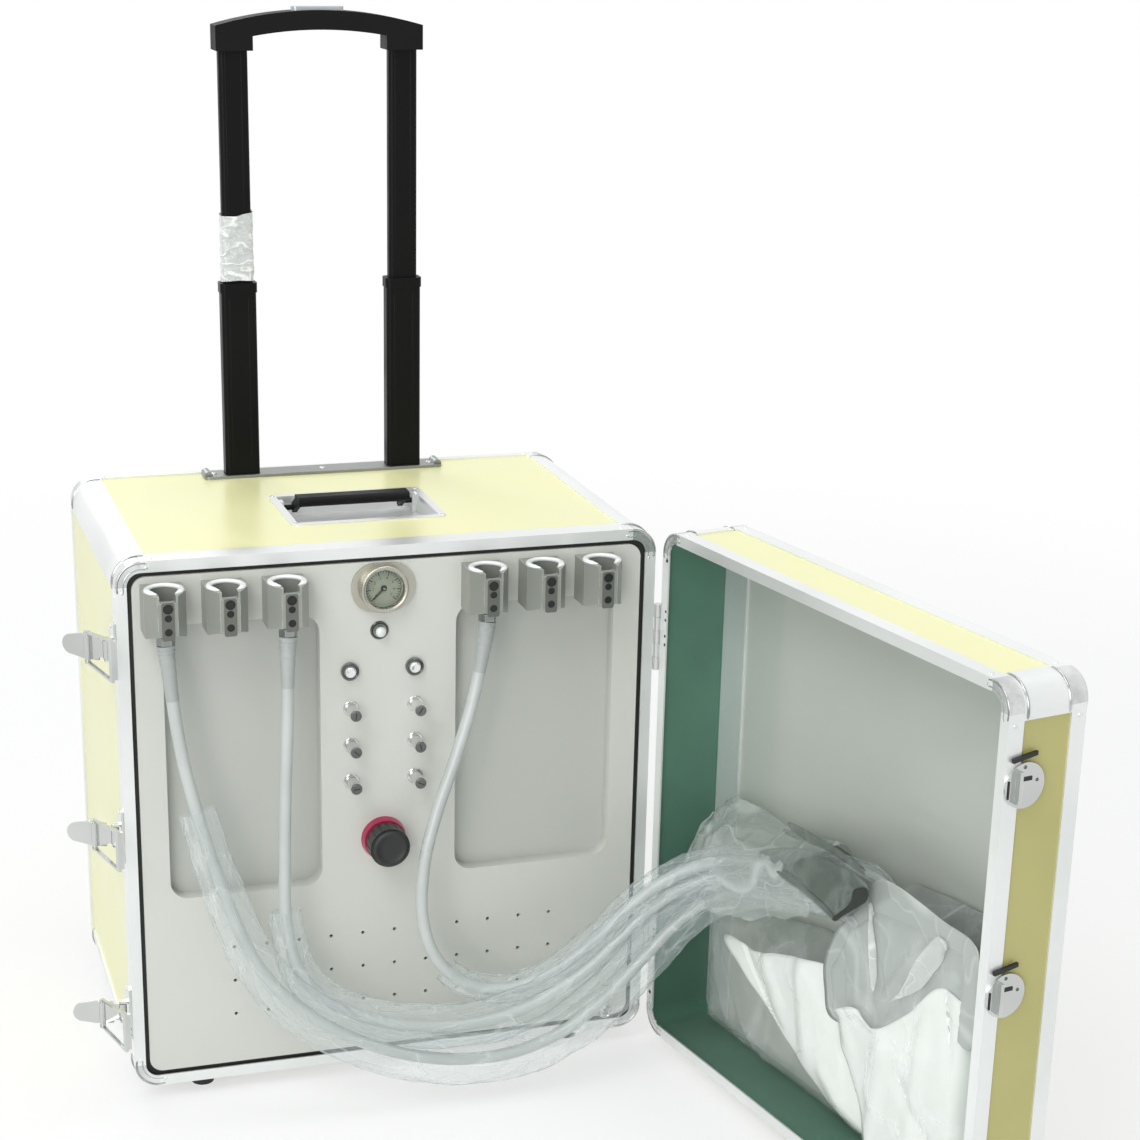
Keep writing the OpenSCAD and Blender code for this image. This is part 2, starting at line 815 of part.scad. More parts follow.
module handle_grip() {
    crown = grip_shoulder + grip_rise;
    low = grip_shoulder - grip_h;
    color("black") difference() {
        upright(tube_y - grip_d / 2, tube_y + grip_d / 2) intersection() {
            difference() {
                arch(crown, 2 * (tube_x + grip_side));
                arch(crown - grip_bar, 2 * (tube_x - grip_side));
            }
            translate([-case_w / 2, low]) square([case_w, 2 * grip_h]);
        }
        for (side = [-1, 1]) translate([side * tube_x, tube_y, upper_top - 2 * grip_socket])
            linear_extrude(2 * grip_socket) rounded_rect(upper_w, upper_d, tube_r);
        translate([0, tube_y, crown - 8]) linear_extrude(20) rounded_rect(button_w + 0.6, button_d + 0.6, 4.3);
    }
}

module handle_button() {
    top = grip_shoulder + grip_rise + 3;
    color("silver") translate([0, tube_y, top - 7]) linear_extrude(7) rounded_rect(button_w, button_d, 4);
}

// ---------- Carry handle ----------

module carry_tray() {
    pan_w = tray_w - 2 * tray_lip;
    pan_d = tray_d - 2 * tray_lip;
    color("silver") translate([0, tray_y, 0]) {
        difference() {
            union() {
                translate([0, 0, plate_z]) linear_extrude(tray_t) rounded_rect(tray_w, tray_d, 8);
                translate([-pan_w / 2, -pan_d / 2, plate_z - tray_sink])
                    cube([pan_w, pan_d, tray_sink]);
            }
            translate([-pan_w / 2 + tray_t, -pan_d / 2 + tray_t, plate_z - tray_sink + tray_t])
                cube([pan_w - 2 * tray_t, pan_d - 2 * tray_t, tray_sink + tray_t]);
        }
        // ears that hold the bar's pins
        for (side = [-1, 1]) difference() {
            translate([side * (pan_w / 2 - tray_t - 2) - 2, bar_pin_y - tray_y - 5, plate_z - tray_sink + tray_t])
                cube([4, 10, tray_sink - tray_t]);
            translate([-tray_w, bar_pin_y - tray_y, bar_pin_z]) rotate([0, 90, 0])
                cylinder(r = bar_pin_r + turn_fit, h = 2 * tray_w);
        }
    }
}

module carry_bar() {
    pan_w = tray_w - 2 * tray_lip;
    arm_t = 4;
    bar_y = bar_pin_y - bar_arm;
    color("black") {
        translate([-bar_w / 2, bar_y, bar_z]) rotate([90, 0, 90]) linear_extrude(bar_w)
            rounded_rect(bar_d, bar_h, 4);
        for (side = [-1, 1]) translate([side * (bar_w / 2 - arm_t / 2) - arm_t / 2, 0, 0])
            rotate([90, 0, 90]) linear_extrude(arm_t) {
                polygon([[bar_y - 5, bar_z - 3], [bar_y + 5, bar_z + 3], [bar_pin_y + 4, bar_pin_z + 3],
                         [bar_pin_y - 1, bar_pin_z - 4.5]]);
                translate([bar_pin_y, bar_pin_z]) circle(5);
            }
        for (side = [-1, 1]) translate([side > 0 ? bar_w / 2 - 1 : -pan_w / 2 + tray_t + 0.3, bar_pin_y, bar_pin_z])
            rotate([0, 90, 0]) cylinder(r = bar_pin_r, h = pan_w / 2 - tray_t - 0.3 - bar_w / 2 + 1);
    }
}

// ---------- Latches ----------

latch_zs = [for (k = [1, 0, -1]) mid_z - latch_drop + k * latch_pitch];

// Moves to the point on the case's left wall where latch k is fixed
module at_latch(k) {
    translate([-case_w / 2, front_y, latch_zs[k]]) children();
}

// A base: a shield-shaped plate on the wall, and two ears that hold the lever's pin
module latch_base() {
    ear_z = hub_len / 2 + ear_gap;
    tail = latch_in + latch_tail;
    h = latch_plate_h;
    end_h = latch_tail_h;
    translate([-latch_plate_t, 0, 0]) rotate([90, 0, 90]) linear_extrude(latch_plate_t)
        polygon([[3, -h], [latch_in, -h], [tail - 3, -end_h - 3], [tail, -end_h], [tail, end_h],
                 [tail - 3, end_h + 3], [latch_in, h], [3, h]]);
    for (z = [-ear_z - ear_t, ear_z]) translate([-latch_out, latch_in, z]) linear_extrude(ear_t) {
        circle(3);
        translate([0, -3]) square([latch_out - latch_plate_t / 2, 6]);
    }
    translate([-latch_out, latch_in, -ear_z - ear_t]) cylinder(r = latch_pin_r, h = 2 * (ear_z + ear_t));
}

module latch_bases() {
    color("silver") for (k = [0:2]) at_latch(k) latch_base();
}

// Lever k: a tongue with a rounded tip, its hub round the base's pin and an eye for the hook
module latch_lever(k) {
    at_latch(k) translate([-latch_out, latch_in, 0]) rotate([0, 0, lever_open[k]]) difference() {
        union() {
            translate([0, 0, -hub_len / 2]) cylinder(r = hub_r, h = hub_len);
            rotate([90, 0, 0]) translate([0, 0, -lever_t / 2]) linear_extrude(lever_t) {
                translate([2, -hub_len / 2]) square([8, hub_len]);
                polygon([[hub_len / 2, -lever_half], [lever_taper, -lever_half], [lever_len - lever_tip_r, -lever_tip_r],
                         [lever_len - lever_tip_r, lever_tip_r], [lever_taper, lever_half], [hub_len / 2, lever_half]]);
                translate([lever_len - lever_tip_r, 0]) circle(lever_tip_r);
            }
            translate([hook_along, hook_off, -lever_half]) cylinder(r = hook_hub_r, h = 2 * lever_half);
            translate([hook_along - hook_hub_r, 0, -lever_half]) cube([2 * hook_hub_r, hook_off, 2 * lever_half]);
        }
        translate([0, 0, -hub_len]) cylinder(r = latch_pin_r + turn_fit, h = 2 * hub_len);
        translate([hook_along, hook_off, -hub_len]) cylinder(r = hook_pin_r + turn_fit, h = 2 * hub_len);
    }
}

// Hook k: an open frame on a pin through the lever's eye, wider at the end that grips the catch
module latch_hook(k) {
    at_latch(k) translate([-latch_out, latch_in, 0]) rotate([0, 0, lever_open[k]])
        translate([hook_along, hook_off, 0]) rotate([0, 0, hook_open - lever_open[k]]) {
            translate([0, 0, -hook_half - hook_arm_t]) cylinder(r = hook_pin_r, h = 2 * (hook_half + hook_arm_t));
            for (s = [-1, 1]) {
                translate([0, 0, s * (hook_half + hook_arm_t / 2) - hook_arm_t / 2]) cylinder(r = 2.8, h = hook_arm_t);
                rotate([90, 0, 0]) translate([0, 0, -1.5]) linear_extrude(3) polygon([
                    [0, s * hook_half], [0, s * (hook_half + hook_arm_t)],
                    [hook_catch + 4, s * (hook_spread + hook_arm_t)], [hook_catch + 4, s * hook_spread]
                ]);
            }
            translate([hook_catch + 0.2, -1.5, -hook_spread]) cube([3.8, 6, 2 * hook_spread]);
        }
}

// ---------- Hinges ----------

knuckle_len = hinge_len / knuckles;

// One knuckle of a hinge, number k from the bottom, round the hinge axis
module knuckle(k) {
    translate([pivot_x, pivot_y, (k - knuckles / 2) * knuckle_len + knuckle_gap / 2])
        cylinder(r = knuckle_r, h = knuckle_len - knuckle_gap);
}

module at_hinges() {
    for (side = [-1, 1]) translate([0, 0, mid_z + side * hinge_spread]) children();
}

module hinge_case_leaves() {
    color("silver") at_hinges() {
        for (k = [0:2:knuckles - 1]) knuckle(k);
        translate([pivot_x, pivot_y, -hinge_len / 2]) cylinder(r = hinge_pin_r, h = hinge_len);
        for (k = [0:2:knuckles - 1])
            translate([case_w / 2, pivot_y, (k - knuckles / 2) * knuckle_len + knuckle_gap / 2])
                cube([leaf_t, knuckle_r + 2, knuckle_len - knuckle_gap]);
        translate([case_w / 2, pivot_y + knuckle_r + 1, -hinge_len / 2]) cube([leaf_t, leaf_w - 6, hinge_len]);
    }
}

module hinge_door_leaves() {
    color("silver") on_door() at_hinges() difference() {
        union() {
            for (k = [1:2:knuckles - 1]) {
                knuckle(k);
                translate([case_w / 2, pivot_y - knuckle_r - 2, (k - knuckles / 2) * knuckle_len + knuckle_gap / 2])
                    cube([leaf_t, knuckle_r + 2, knuckle_len - knuckle_gap]);
            }
            translate([case_w / 2, pivot_y - leaf_w + 5, -hinge_len / 2]) cube([leaf_t, leaf_w - 10, hinge_len]);
        }
        translate([pivot_x, pivot_y, -hinge_len]) cylinder(r = hinge_pin_r + turn_fit, h = 2 * hinge_len);
    }
}

// ---------- Door ----------

module door_boards() {
    y0 = door_out_y + rail_t;
    y1 = rim_y - rail_t;
    color("khaki") on_door() translate([0, 0, mid_z]) {
        for (side = [-1, 1]) {
            flat_board(side, y0, y1);
            side_board(side, y0, y1);
        }
        end_board(y0, door_out_y + skin);
    }
}

module door_frames() {
    color("silver") on_door() {
        translate([0, rim_y, mid_z]) mirror([0, 1, 0]) frame_bars(door_flange);
        translate([0, door_out_y, mid_z]) frame_bars(door_flange);
        // a flat strip covers the joint of the inner panel beside the hinges
        strip_edge = skin + liner_t + strip_gap;
        translate([0, 0, mid_z]) upright(liner_out_y + inner_panel_t, liner_out_y + inner_panel_t + strip_t)
            intersection() {
                rounded_rect(case_w - 2 * strip_edge, case_h - 2 * strip_edge, inner_r - liner_t - strip_gap);
                translate([case_w / 2 - strip_edge - strip_w, -case_h / 2]) square([strip_w, case_h]);
            }
    }
}

module door_edge_rails() {
    color("silver") on_door() translate([0, 0, mid_z]) edge_rails(door_out_y + door_flange, rim_y - door_flange);
}

module door_corner_castings() {
    color("gainsboro") on_door() {
        translate([0, rim_y, mid_z]) mirror([0, 1, 0]) frame_corners(door_flange);
        translate([0, door_out_y, mid_z]) frame_corners(door_flange);
    }
}

module door_liner() {
    color("seagreen") on_door() translate([0, 0, mid_z]) upright(liner_out_y, rim_y - rail_t) difference() {
        rounded_rect(case_w - 2 * skin, case_h - 2 * skin, inner_r);
        rounded_rect(case_w - 2 * (skin + liner_t), case_h - 2 * (skin + liner_t), inner_r - liner_t);
    }
}

module door_inner_panel() {
    color("darkgray") on_door() translate([0, 0, mid_z]) upright(liner_out_y, liner_out_y + inner_panel_t)
        rounded_rect(case_w - 2 * (skin + liner_t), case_h - 2 * (skin + liner_t), inner_r - liner_t);
}

// A catch plate for each latch: a round plate with a ridge that the hook pulls on
module door_keepers() {
    ridge_w = 2 * hook_spread - 8;
    color("whitesmoke") on_door() for (z = latch_zs) translate([-case_w / 2, rim_y, z]) {
        translate([0, -keeper_r, 0]) rotate([0, -90, 0]) cylinder(r = keeper_r, h = 2);
        translate([-7, -catch_in, -ridge_w / 2]) cube([6, catch_t, ridge_w]);
    }
}

// Two pouches that lie on the inner panel; the right one is open and holds the hose ends
module door_pouches() {
    back = rim_y - liner_out_y - inner_panel_t;
    low = skin + liner_t + pouch_gap;
    color("white") on_door() {
        in_door(left_pouch, [low, left_pouch_h], [left_pouch_deep, back - strip_t - pouch_gap]);
        in_door([left_pouch[0], left_pouch_bulge], [low, left_pouch_h], [left_bulge_deep, back - strip_t - pouch_gap]);
        difference() {
            in_door(right_pouch, [low, right_pouch_h], [right_pouch_deep, back - pouch_gap]);
            in_door(right_pouch + [pouch_wall, -pouch_wall], [low + pouch_wall, right_pouch_h + 1],
                    [right_pouch_deep + pouch_wall, back - pouch_gap - pouch_wall]);
            in_door([right_pouch[0] - 1, mouth_x], [mouth_z, right_pouch_h + 1], [right_pouch_deep - 1, back]);
        }
    }
}

// ---------- Hoses ----------

function unit(v) = v / norm(v);

// Direction of a route at each of its points
function headings(p) = [for (i = [0:len(p) - 1]) unit(p[min(i + 1, len(p) - 1)] - p[max(i - 1, 0)])];

// A sideways direction at each point, carried along the route without twist
function sideways(dirs, i = 0, last = [0, 1, 0]) =
    i == len(dirs) ? [] :
    let (s = unit(last - (last * dirs[i]) * dirs[i])) concat([s], sideways(dirs, i + 1, s));

// A route with its upper end moved along with the holders; what hangs low keeps its height
function hung(route) =
    let (top = route[0][2], shift = [0, cup_y - route[0][1], 0], rise = fitting_low - 1 - top)
    [for (p = route) p + shift + [0, 0, p[1] > hang_y ? rise * max(0, (p[2] - hang_low) / (top - hang_low)) : 0]];

// A plain tube of radius r swept along the points of a route
module swept_tube(route, r) {
    dirs = headings(route);
    sides = sideways(dirs);
    n = len(route);
    m = hose_sides;
    rings = [for (i = [0:n - 1], k = [0:m - 1])
        let (a = 360 * k / m) route[i] + r * (cos(a) * sides[i] + sin(a) * cross(dirs[i], sides[i]))];
    walls = [for (i = [0:n - 2], k = [0:m - 1])
        let (a = i * m + k, b = i * m + (k + 1) % m) each [[a, a + m, b + m], [a, b + m, b]]];
    first = [for (k = [0:m - 1]) k];
    last = [for (k = [m - 1:-1:0]) (n - 1) * m + k];
    polyhedron(concat(rings), concat([first], walls, [last]));
}

module hose_left() { color("white") swept_tube(hung(hose_left_route), hose_od / 2); }
module hose_middle() { color("white") swept_tube(hung(hose_middle_route), hose_od / 2); }
module hose_right() { color("white") swept_tube(hung(hose_right_route), hose_od / 2); }

// A coupling on the end of each hose, inside the open pouch
module hose_connectors() {
    color("silver") for (route = [hose_left_route, hose_middle_route, hose_right_route])
        translate(hung(route)[len(route) - 1]) {
            cylinder(r = coupling_r, h = coupling_len);
            cylinder(r = coupling_r + coupling_rim, h = coupling_rim_len);
            translate([0, 0, coupling_len]) cylinder(r1 = nipple_r + 1, r2 = nipple_r, h = nipple_len);
        }
}

// ---------- Wheels ----------

// Moves to the wheel on the left (-1) or right (1)
module at_wheel(side) {
    translate([side * wheel_x, wheel_y, wheel_z]) children();
}

module wheel_brackets() {
    half = wheel_w / 2 + cheek_gap;
    color("dimgray") for (side = [-1, 1]) at_wheel(side) {
        for (s = [-1, 1]) rotate([90, 0, 90]) translate([0, 0, s * (half + cheek_t / 2) - cheek_t / 2])
            linear_extrude(cheek_t) {
                circle(cheek_r);
                polygon([[0, -cheek_r], [0, cheek_r], [back_y - wheel_y, wheel_r + 2 + bracket_pad],
                         [back_y - wheel_y, cheek_low - wheel_z]]);
            }
        translate([-half - cheek_t, back_y - wheel_y, wheel_r + 2]) cube([2 * (half + cheek_t), bracket_pad_t, bracket_pad]);
        translate([-half - cheek_t, back_y - wheel_y - rail_t, bracket_pad]) cube([2 * (half + cheek_t), rail_t, wheel_r + 2]);
        rotate([0, 90, 0]) translate([0, 0, -half - cheek_t]) cylinder(r = axle_r, h = 2 * (half + cheek_t));
    }
}

module wheel() {
    rotate([0, 90, 0]) difference() {
        union() {
            translate([0, 0, -wheel_w / 2 + 1.5]) cylinder(r = wheel_r, h = wheel_w - 3);
            translate([0, 0, -wheel_w / 2]) cylinder(r = wheel_r - 1.5, h = wheel_w);
        }
        translate([0, 0, -wheel_w]) cylinder(r = axle_r + turn_fit, h = 2 * wheel_w);
        for (z = [-wheel_w / 2 - 1, wheel_w / 2 - 3]) translate([0, 0, z]) difference() {
            cylinder(r = wheel_r - 6, h = 4);
            cylinder(r = 8, h = 4);
        }
    }
}

// ---------- Inside the case ----------

// Oil-free compressor: a motor between two cylinder heads on a base
module compressor() {
    color("slategray") translate([pump_x, 0, skin]) {
        translate([-pump_w / 2, -pump_d / 2, 0]) cube([pump_w, pump_d, pump_foot]);
        translate([-motor_len / 2, 0, pump_foot + motor_r + 7]) rotate([0, 90, 0]) cylinder(r = motor_r, h = motor_len);
        for (side = [-1, 1]) translate([side * head_x, 0, pump_foot]) {
            translate([-head_w / 2, -head_d / 2, 0]) cube([head_w, head_d, head_h]);
            translate([-head_w / 3, -head_d / 2 + 6, head_h]) cube([head_w * 2 / 3, head_d - 12, 3.5 * fin_pitch]);
            for (k = [0:3]) translate([-head_w / 2 - 2, -head_d / 2 - 2, head_h + k * fin_pitch])
                cube([head_w + 4, head_d + 4, fin_pitch / 2]);
        }
    }
}

// A thin-walled vessel that stands on the base board
module vessel(r, h, wall) {
    difference() {
        cylinder(r = r, h = h);
        translate([0, 0, wall]) cylinder(r = r - wall, h = h - 2 * wall);
    }
}

// Air tank, water bottle and the valve block behind the panel
module air_and_water_system() {
    color("lightslategray") {
        translate([tank_x, tank_y, skin]) vessel(tank_r, tank_h, 3);
        translate([0, bottle_y, skin]) vessel(bottle_r, bottle_h, 2);
        translate([axis_x - block_w / 2, panel_back_y, knob_z - block_margin])
            cube([block_w, block_d, 2 * knob_pitch + 2 * block_margin]);
        translate([axis_x, panel_back_y + regulator_body, regulator_z]) forward(20, regulator_body);
    }
}

case_top_board();
case_boards();
case_frames();
case_edge_rails();
case_corner_castings();
panel_mount_frame();
panel_seal();
front_panel();
panel_fittings();
handpiece_holders();
holder_plugs();
gauge_case();
gauge_dial();
gauge_needle();
gauge_glass();
color("white") push_button(-1);  // push_button_left
color("white") push_button(1);  // push_button_right
color("lightgray") valve_knob(-1, 2);  // valve_knob_1
color("lightgray") valve_knob(-1, 1);  // valve_knob_2
color("lightgray") valve_knob(-1, 0);  // valve_knob_3
color("lightgray") valve_knob(1, 2);  // valve_knob_4
color("lightgray") valve_knob(1, 1);  // valve_knob_5
color("lightgray") valve_knob(1, 0);  // valve_knob_6
regulator_collar();
regulator_knob();
handle_sleeves();
handle_base_plate();
handle_lower_tubes();
handle_upper_tubes();
handle_grip();
handle_button();
carry_tray();
carry_bar();
rubber_feet();
wheel_brackets();
color("dimgray") at_wheel(-1) wheel();  // wheel_left
color("dimgray") at_wheel(1) wheel();  // wheel_right
latch_bases();
color("silver") latch_lever(0);  // latch_lever_1
color("silver") latch_lever(1);  // latch_lever_2
color("silver") latch_lever(2);  // latch_lever_3
color("silver") latch_hook(0);  // latch_hook_1
color("silver") latch_hook(1);  // latch_hook_2
color("silver") latch_hook(2);  // latch_hook_3
hinge_case_leaves();
hinge_door_leaves();
door_boards();
door_frames();
door_edge_rails();
door_corner_castings();
door_liner();
door_inner_panel();
door_keepers();
door_pouches();
hose_left();
hose_middle();
hose_right();
hose_connectors();
compressor();
air_and_water_system();
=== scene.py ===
"""Looks of a portable dental unit: a trolley case whose open door shows its control panel.

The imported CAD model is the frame, in metres, with the panel facing -Y and the case's bottom at
z = 0.  Hard parts keep their CAD meshes and get procedural finishes.  Hoses, film, pouches and
the small fastenings on the hard parts are modelled here and ride on the CAD bodies.
"""

from __future__ import annotations

import logging
import math
from dataclasses import dataclass, field
from enum import Enum
from typing import Any, Callable, Mapping, Sequence

import bmesh
import bpy
from mathutils import Matrix, Vector, noise

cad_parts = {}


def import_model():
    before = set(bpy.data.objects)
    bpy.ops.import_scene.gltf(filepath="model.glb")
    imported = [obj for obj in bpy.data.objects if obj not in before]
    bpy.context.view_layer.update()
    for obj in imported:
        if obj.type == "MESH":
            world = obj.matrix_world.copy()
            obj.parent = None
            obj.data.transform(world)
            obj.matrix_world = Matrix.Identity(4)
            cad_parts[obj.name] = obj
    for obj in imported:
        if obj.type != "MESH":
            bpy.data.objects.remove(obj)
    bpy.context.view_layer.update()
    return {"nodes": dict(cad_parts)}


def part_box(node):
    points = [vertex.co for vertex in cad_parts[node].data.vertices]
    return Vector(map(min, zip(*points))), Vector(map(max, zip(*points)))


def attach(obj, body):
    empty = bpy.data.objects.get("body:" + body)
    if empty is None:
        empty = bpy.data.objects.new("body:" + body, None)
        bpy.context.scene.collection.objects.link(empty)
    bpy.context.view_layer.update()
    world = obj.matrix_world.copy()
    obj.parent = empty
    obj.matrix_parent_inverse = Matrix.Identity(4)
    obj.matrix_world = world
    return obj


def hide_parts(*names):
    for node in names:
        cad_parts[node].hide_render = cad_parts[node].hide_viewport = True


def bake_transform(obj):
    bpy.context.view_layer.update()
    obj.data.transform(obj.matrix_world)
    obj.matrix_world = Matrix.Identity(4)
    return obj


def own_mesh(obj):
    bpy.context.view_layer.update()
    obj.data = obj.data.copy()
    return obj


LOG = logging.getLogger("dental_unit")
MM = 0.001
TAU = 2 * math.pi

Rgb = tuple[float, float, float]
Point = tuple[float, float, float]


# ---------- Small tools ----------


def srgb(code: str) -> Rgb:
    """Turns a screen colour into linear light.

    Args:
        code: The colour as six hexadecimal digits.

    Returns:
        Its red, green and blue in linear light.
    """
    channels = (int(code[i : i + 2], 16) / 255 for i in (0, 2, 4))
    return tuple(c / 12.92 if c <= 0.04045 else ((c + 0.055) / 1.055) ** 2.4 for c in channels)


def mm(*values: float) -> Vector:
    """Turns millimetres into a point in metres."""
    return Vector(values) * MM


def smooth_step(low: float, high: float, value: float) -> float:
    """Rises smoothly from 0 at low to 1 at high."""
    t = min(1.0, max(0.0, (value - low) / (high - low)))
    return t * t * (3 - 2 * t)


def on_curve(a: Vector, b: Vector, c: Vector, d: Vector, t: float) -> Vector:
    """Finds the point at share t between b and c of the smooth curve through four points."""
    return 0.5 * (2 * b + (c - a) * t + (2 * a - 5 * b + 4 * c - d) * t * t + (3 * b - a - 3 * c + d) * t**3)


def smooth_line(points: Sequence[Vector], steps: int) -> list[Vector]:
    """Runs one smooth curve through points.

    Args:
        points: The points to pass through.
        steps: How many pieces each stretch between two points gets.

    Returns:
        The curve's points.
    """
    ends = [2 * points[0] - points[1], *points, 2 * points[-1] - points[-2]]
    line: list[Vector] = []
    for a, b, c, d in zip(ends, ends[1:], ends[2:], ends[3:]):
        line.extend(on_curve(a, b, c, d, i / steps) for i in range(steps))
    return [*line, points[-1].copy()]


def line_length(line: Sequence[Vector]) -> float:
    """Length of a line of points."""
    return sum((b - a).length for a, b in zip(line, line[1:]))


class Axes(Enum):
    """The planes that a flat outline can be drawn in, as (right, up, out)."""

    FRONT = (Vector((1, 0, 0)), Vector((0, 0, 1)), Vector((0, -1, 0)))
    TOP = (Vector((1, 0, 0)), Vector((0, 1, 0)), Vector((0, 0, 1)))
    LEFT = (Vector((0, -1, 0)), Vector((0, 0, 1)), Vector((-1, 0, 0)))


@dataclass
class Shell:
    """A mesh being put together from rings of points."""

    points: list[Vector] = field(default_factory=list)
    faces: list[tuple[int, ...]] = field(default_factory=list)
    uvs: list[tuple[float, float]] = field(default_factory=list)

    def add_rings(
        self, rings: Sequence[Sequence[Vector]], closed: bool = True, caps: bool = True
    ) -> None:
        """Joins rings of equal size into a skin.

        Args:
            rings: The rings, in order.
            closed: Whether each ring closes on itself.
            caps: Whether the first and the last ring are filled.
        """
        start, size = len(self.points), len(rings[0])
        for i, ring in enumerate(rings):
            self.points.extend(ring)
            self.uvs.extend((k / size, i / max(1, len(rings) - 1)) for k in range(size))
        span = size if closed else size - 1
        for i in range(len(rings) - 1):
            for k in range(span):
                a, b = start + i * size + k, start + i * size + (k + 1) % size
                self.faces.append((a, b, b + size, a + size))
        if caps:
            self.faces.append(tuple(start + k for k in reversed(range(size))))
            last = start + (len(rings) - 1) * size
            self.faces.append(tuple(last + k for k in range(size)))

    def add_lathe(
        self, centre: Vector, axes: Axes, outline: Sequence[tuple[float, float]], sides: int = 32
    ) -> None:
        """Turns an outline round an axis.

        Args:
            centre: Where the axis starts.
            axes: The plane that the axis stands on.
            outline: Radius and height of each ring, in millimetres, from the foot to the tip.
            sides: How many sides each ring has.
        """
        self.add_rings(self._turned(centre, axes, outline, sides))

    def add_ring(
        self, centre: Vector, axes: Axes, section: Sequence[tuple[float, float]], sides: int = 40
    ) -> None:
        """Turns a closed section of radius and height, in millimetres, into a ring."""
        rings = self._turned(centre, axes, section, sides)
        self.add_rings([*rings, rings[0]], caps=False)

    @staticmethod
    def _turned(
        centre: Vector, axes: Axes, outline: Sequence[tuple[float, float]], sides: int
    ) -> list[list[Vector]]:
        """Gives the rings that an outline of radius and height draws round an axis."""
        right, up, out = axes.value
        turns = [right * math.cos(TAU * k / sides) + up * math.sin(TAU * k / sides) for k in range(sides)]
        return [[centre + out * h * MM + turn * r * MM for turn in turns] for r, h in outline]

    def add_slab(self, outline: Sequence[Vector], out: Vector, thickness: float) -> None:
        """Gives a flat outline a thickness in millimetres along out."""
        self.add_rings([list(outline), [p + out * thickness * MM for p in outline]])

    def piece(
        self, name: str, finish: bpy.types.Material, angle: float = 40.0, tidy: bool = True
    ) -> bpy.types.Object:
        """Makes the mesh an object.

        Args:
            name: The object's name.
            finish: Its material.
            angle: The angle in degrees past which an edge stays sharp.
            tidy: Whether normals are made to point outwards.

        Returns:
            The object, at the origin.
        """
        mesh = bpy.data.meshes.new(name)
        mesh.from_pydata([tuple(p) for p in self.points], [], self.faces)
        layer = mesh.uv_layers.new(name="surface")
        for loop in mesh.loops:
            layer.data[loop.index].uv = self.uvs[loop.vertex_index]
        if tidy:
            made = bmesh.new()
            made.from_mesh(mesh)
            bmesh.ops.recalc_face_normals(made, faces=made.faces)
            made.to_mesh(mesh)
            made.free()
        mesh.materials.append(finish)
        mesh.shade_smooth()
        mesh.set_sharp_from_angle(angle=math.radians(angle))
        made_object = bpy.data.objects.new(name, mesh)
        bpy.context.scene.collection.objects.link(made_object)
        return made_object


def carried_sides(line: Sequence[Vector]) -> list[tuple[Vector, Vector]]:
    """Two sideways directions at each point of a line, carried along it without twist.

    Args:
        line: The line's points.

    Returns:
        For each point, the two directions across the line.
    """
    side, pairs = Vector((0, 1, 0)), []
    for i in range(len(line)):
        ahead = (line[min(i + 1, len(line) - 1)] - line[max(i - 1, 0)]).normalized()
        side = (side - ahead * side.dot(ahead)).normalized()
        pairs.append((side, ahead.cross(side)))
    return pairs


def swept(
    line: Sequence[Vector], section: Callable[[float, float], tuple[float, float]], sides: int
) -> list[list[Vector]]:
    """Sweeps a changing section along a line.

    Args:
        line: The line's points.
        section: Gives the offsets across the line, in metres, from the share of the line that
            is behind and the angle round it.
        sides: How many points each ring has.

    Returns:
        The rings.
    """
    rings = []
    for i, (point, (side, other)) in enumerate(zip(line, carried_sides(line))):
        share, ring = i / (len(line) - 1), []
        for k in range(sides):
            across, over = section(share, TAU * k / sides)
            ring.append(point + side * across + other * over)
        rings.append(ring)
    return rings


# ---------- Shader groups ----------


class Graph:
    """A node tree being wired."""

    def __init__(self, tree: bpy.types.NodeTree) -> None:
        """Starts on an empty tree."""
        self.tree = tree
        tree.nodes.clear()

    def add(self, kind: str, inputs: Mapping[Any, Any] | None = None, **settings: Any) -> bpy.types.Node:
        """Adds a node.

        Args:
            kind: The node's type name.
            inputs: For each input, a socket to link or a value to set.
            **settings: The node's own properties.

        Returns:
            The node.
        """
        node = self.tree.nodes.new(kind)
        for key, value in settings.items():
            setattr(node, key, value)
        for key, value in (inputs or {}).items():
            if isinstance(value, bpy.types.NodeSocket):
                self.tree.links.new(value, node.inputs[key])
            else:
                node.inputs[key].default_value = value
        return node

    def math(self, operation: str, a: Any, b: Any = 0.0, clamp: bool = False) -> bpy.types.NodeSocket:
        """Adds a Math node and gives its output."""
        return self.add("ShaderNodeMath", {0: a, 1: b}, operation=operation, use_clamp=clamp).outputs[0]

    def ramp(self, value: Any, low: float, high: float, to_low: Any = 0.0, to_high: Any = 1.0) -> Any:
        """Adds a Map Range node that goes smoothly between two values."""
        ranged = self.add(
            "ShaderNodeMapRange",
            {"Value": value, "From Min": low, "From Max": high, "To Min": to_low, "To Max": to_high},
            interpolation_type="SMOOTHSTEP",
        )
        return ranged.outputs[0]

    def mix(self, share: Any, first: Any, second: Any) -> bpy.types.NodeSocket:
        """Adds a colour Mix node and gives its output."""
        node = self.add("ShaderNodeMix", data_type="RGBA")
        for socket, value in ((node.inputs[0], share), (node.inputs[6], first), (node.inputs[7], second)):
            if isinstance(value, bpy.types.NodeSocket):
                self.tree.links.new(value, socket)
            else:
                socket.default_value = value
        return node.outputs[2]


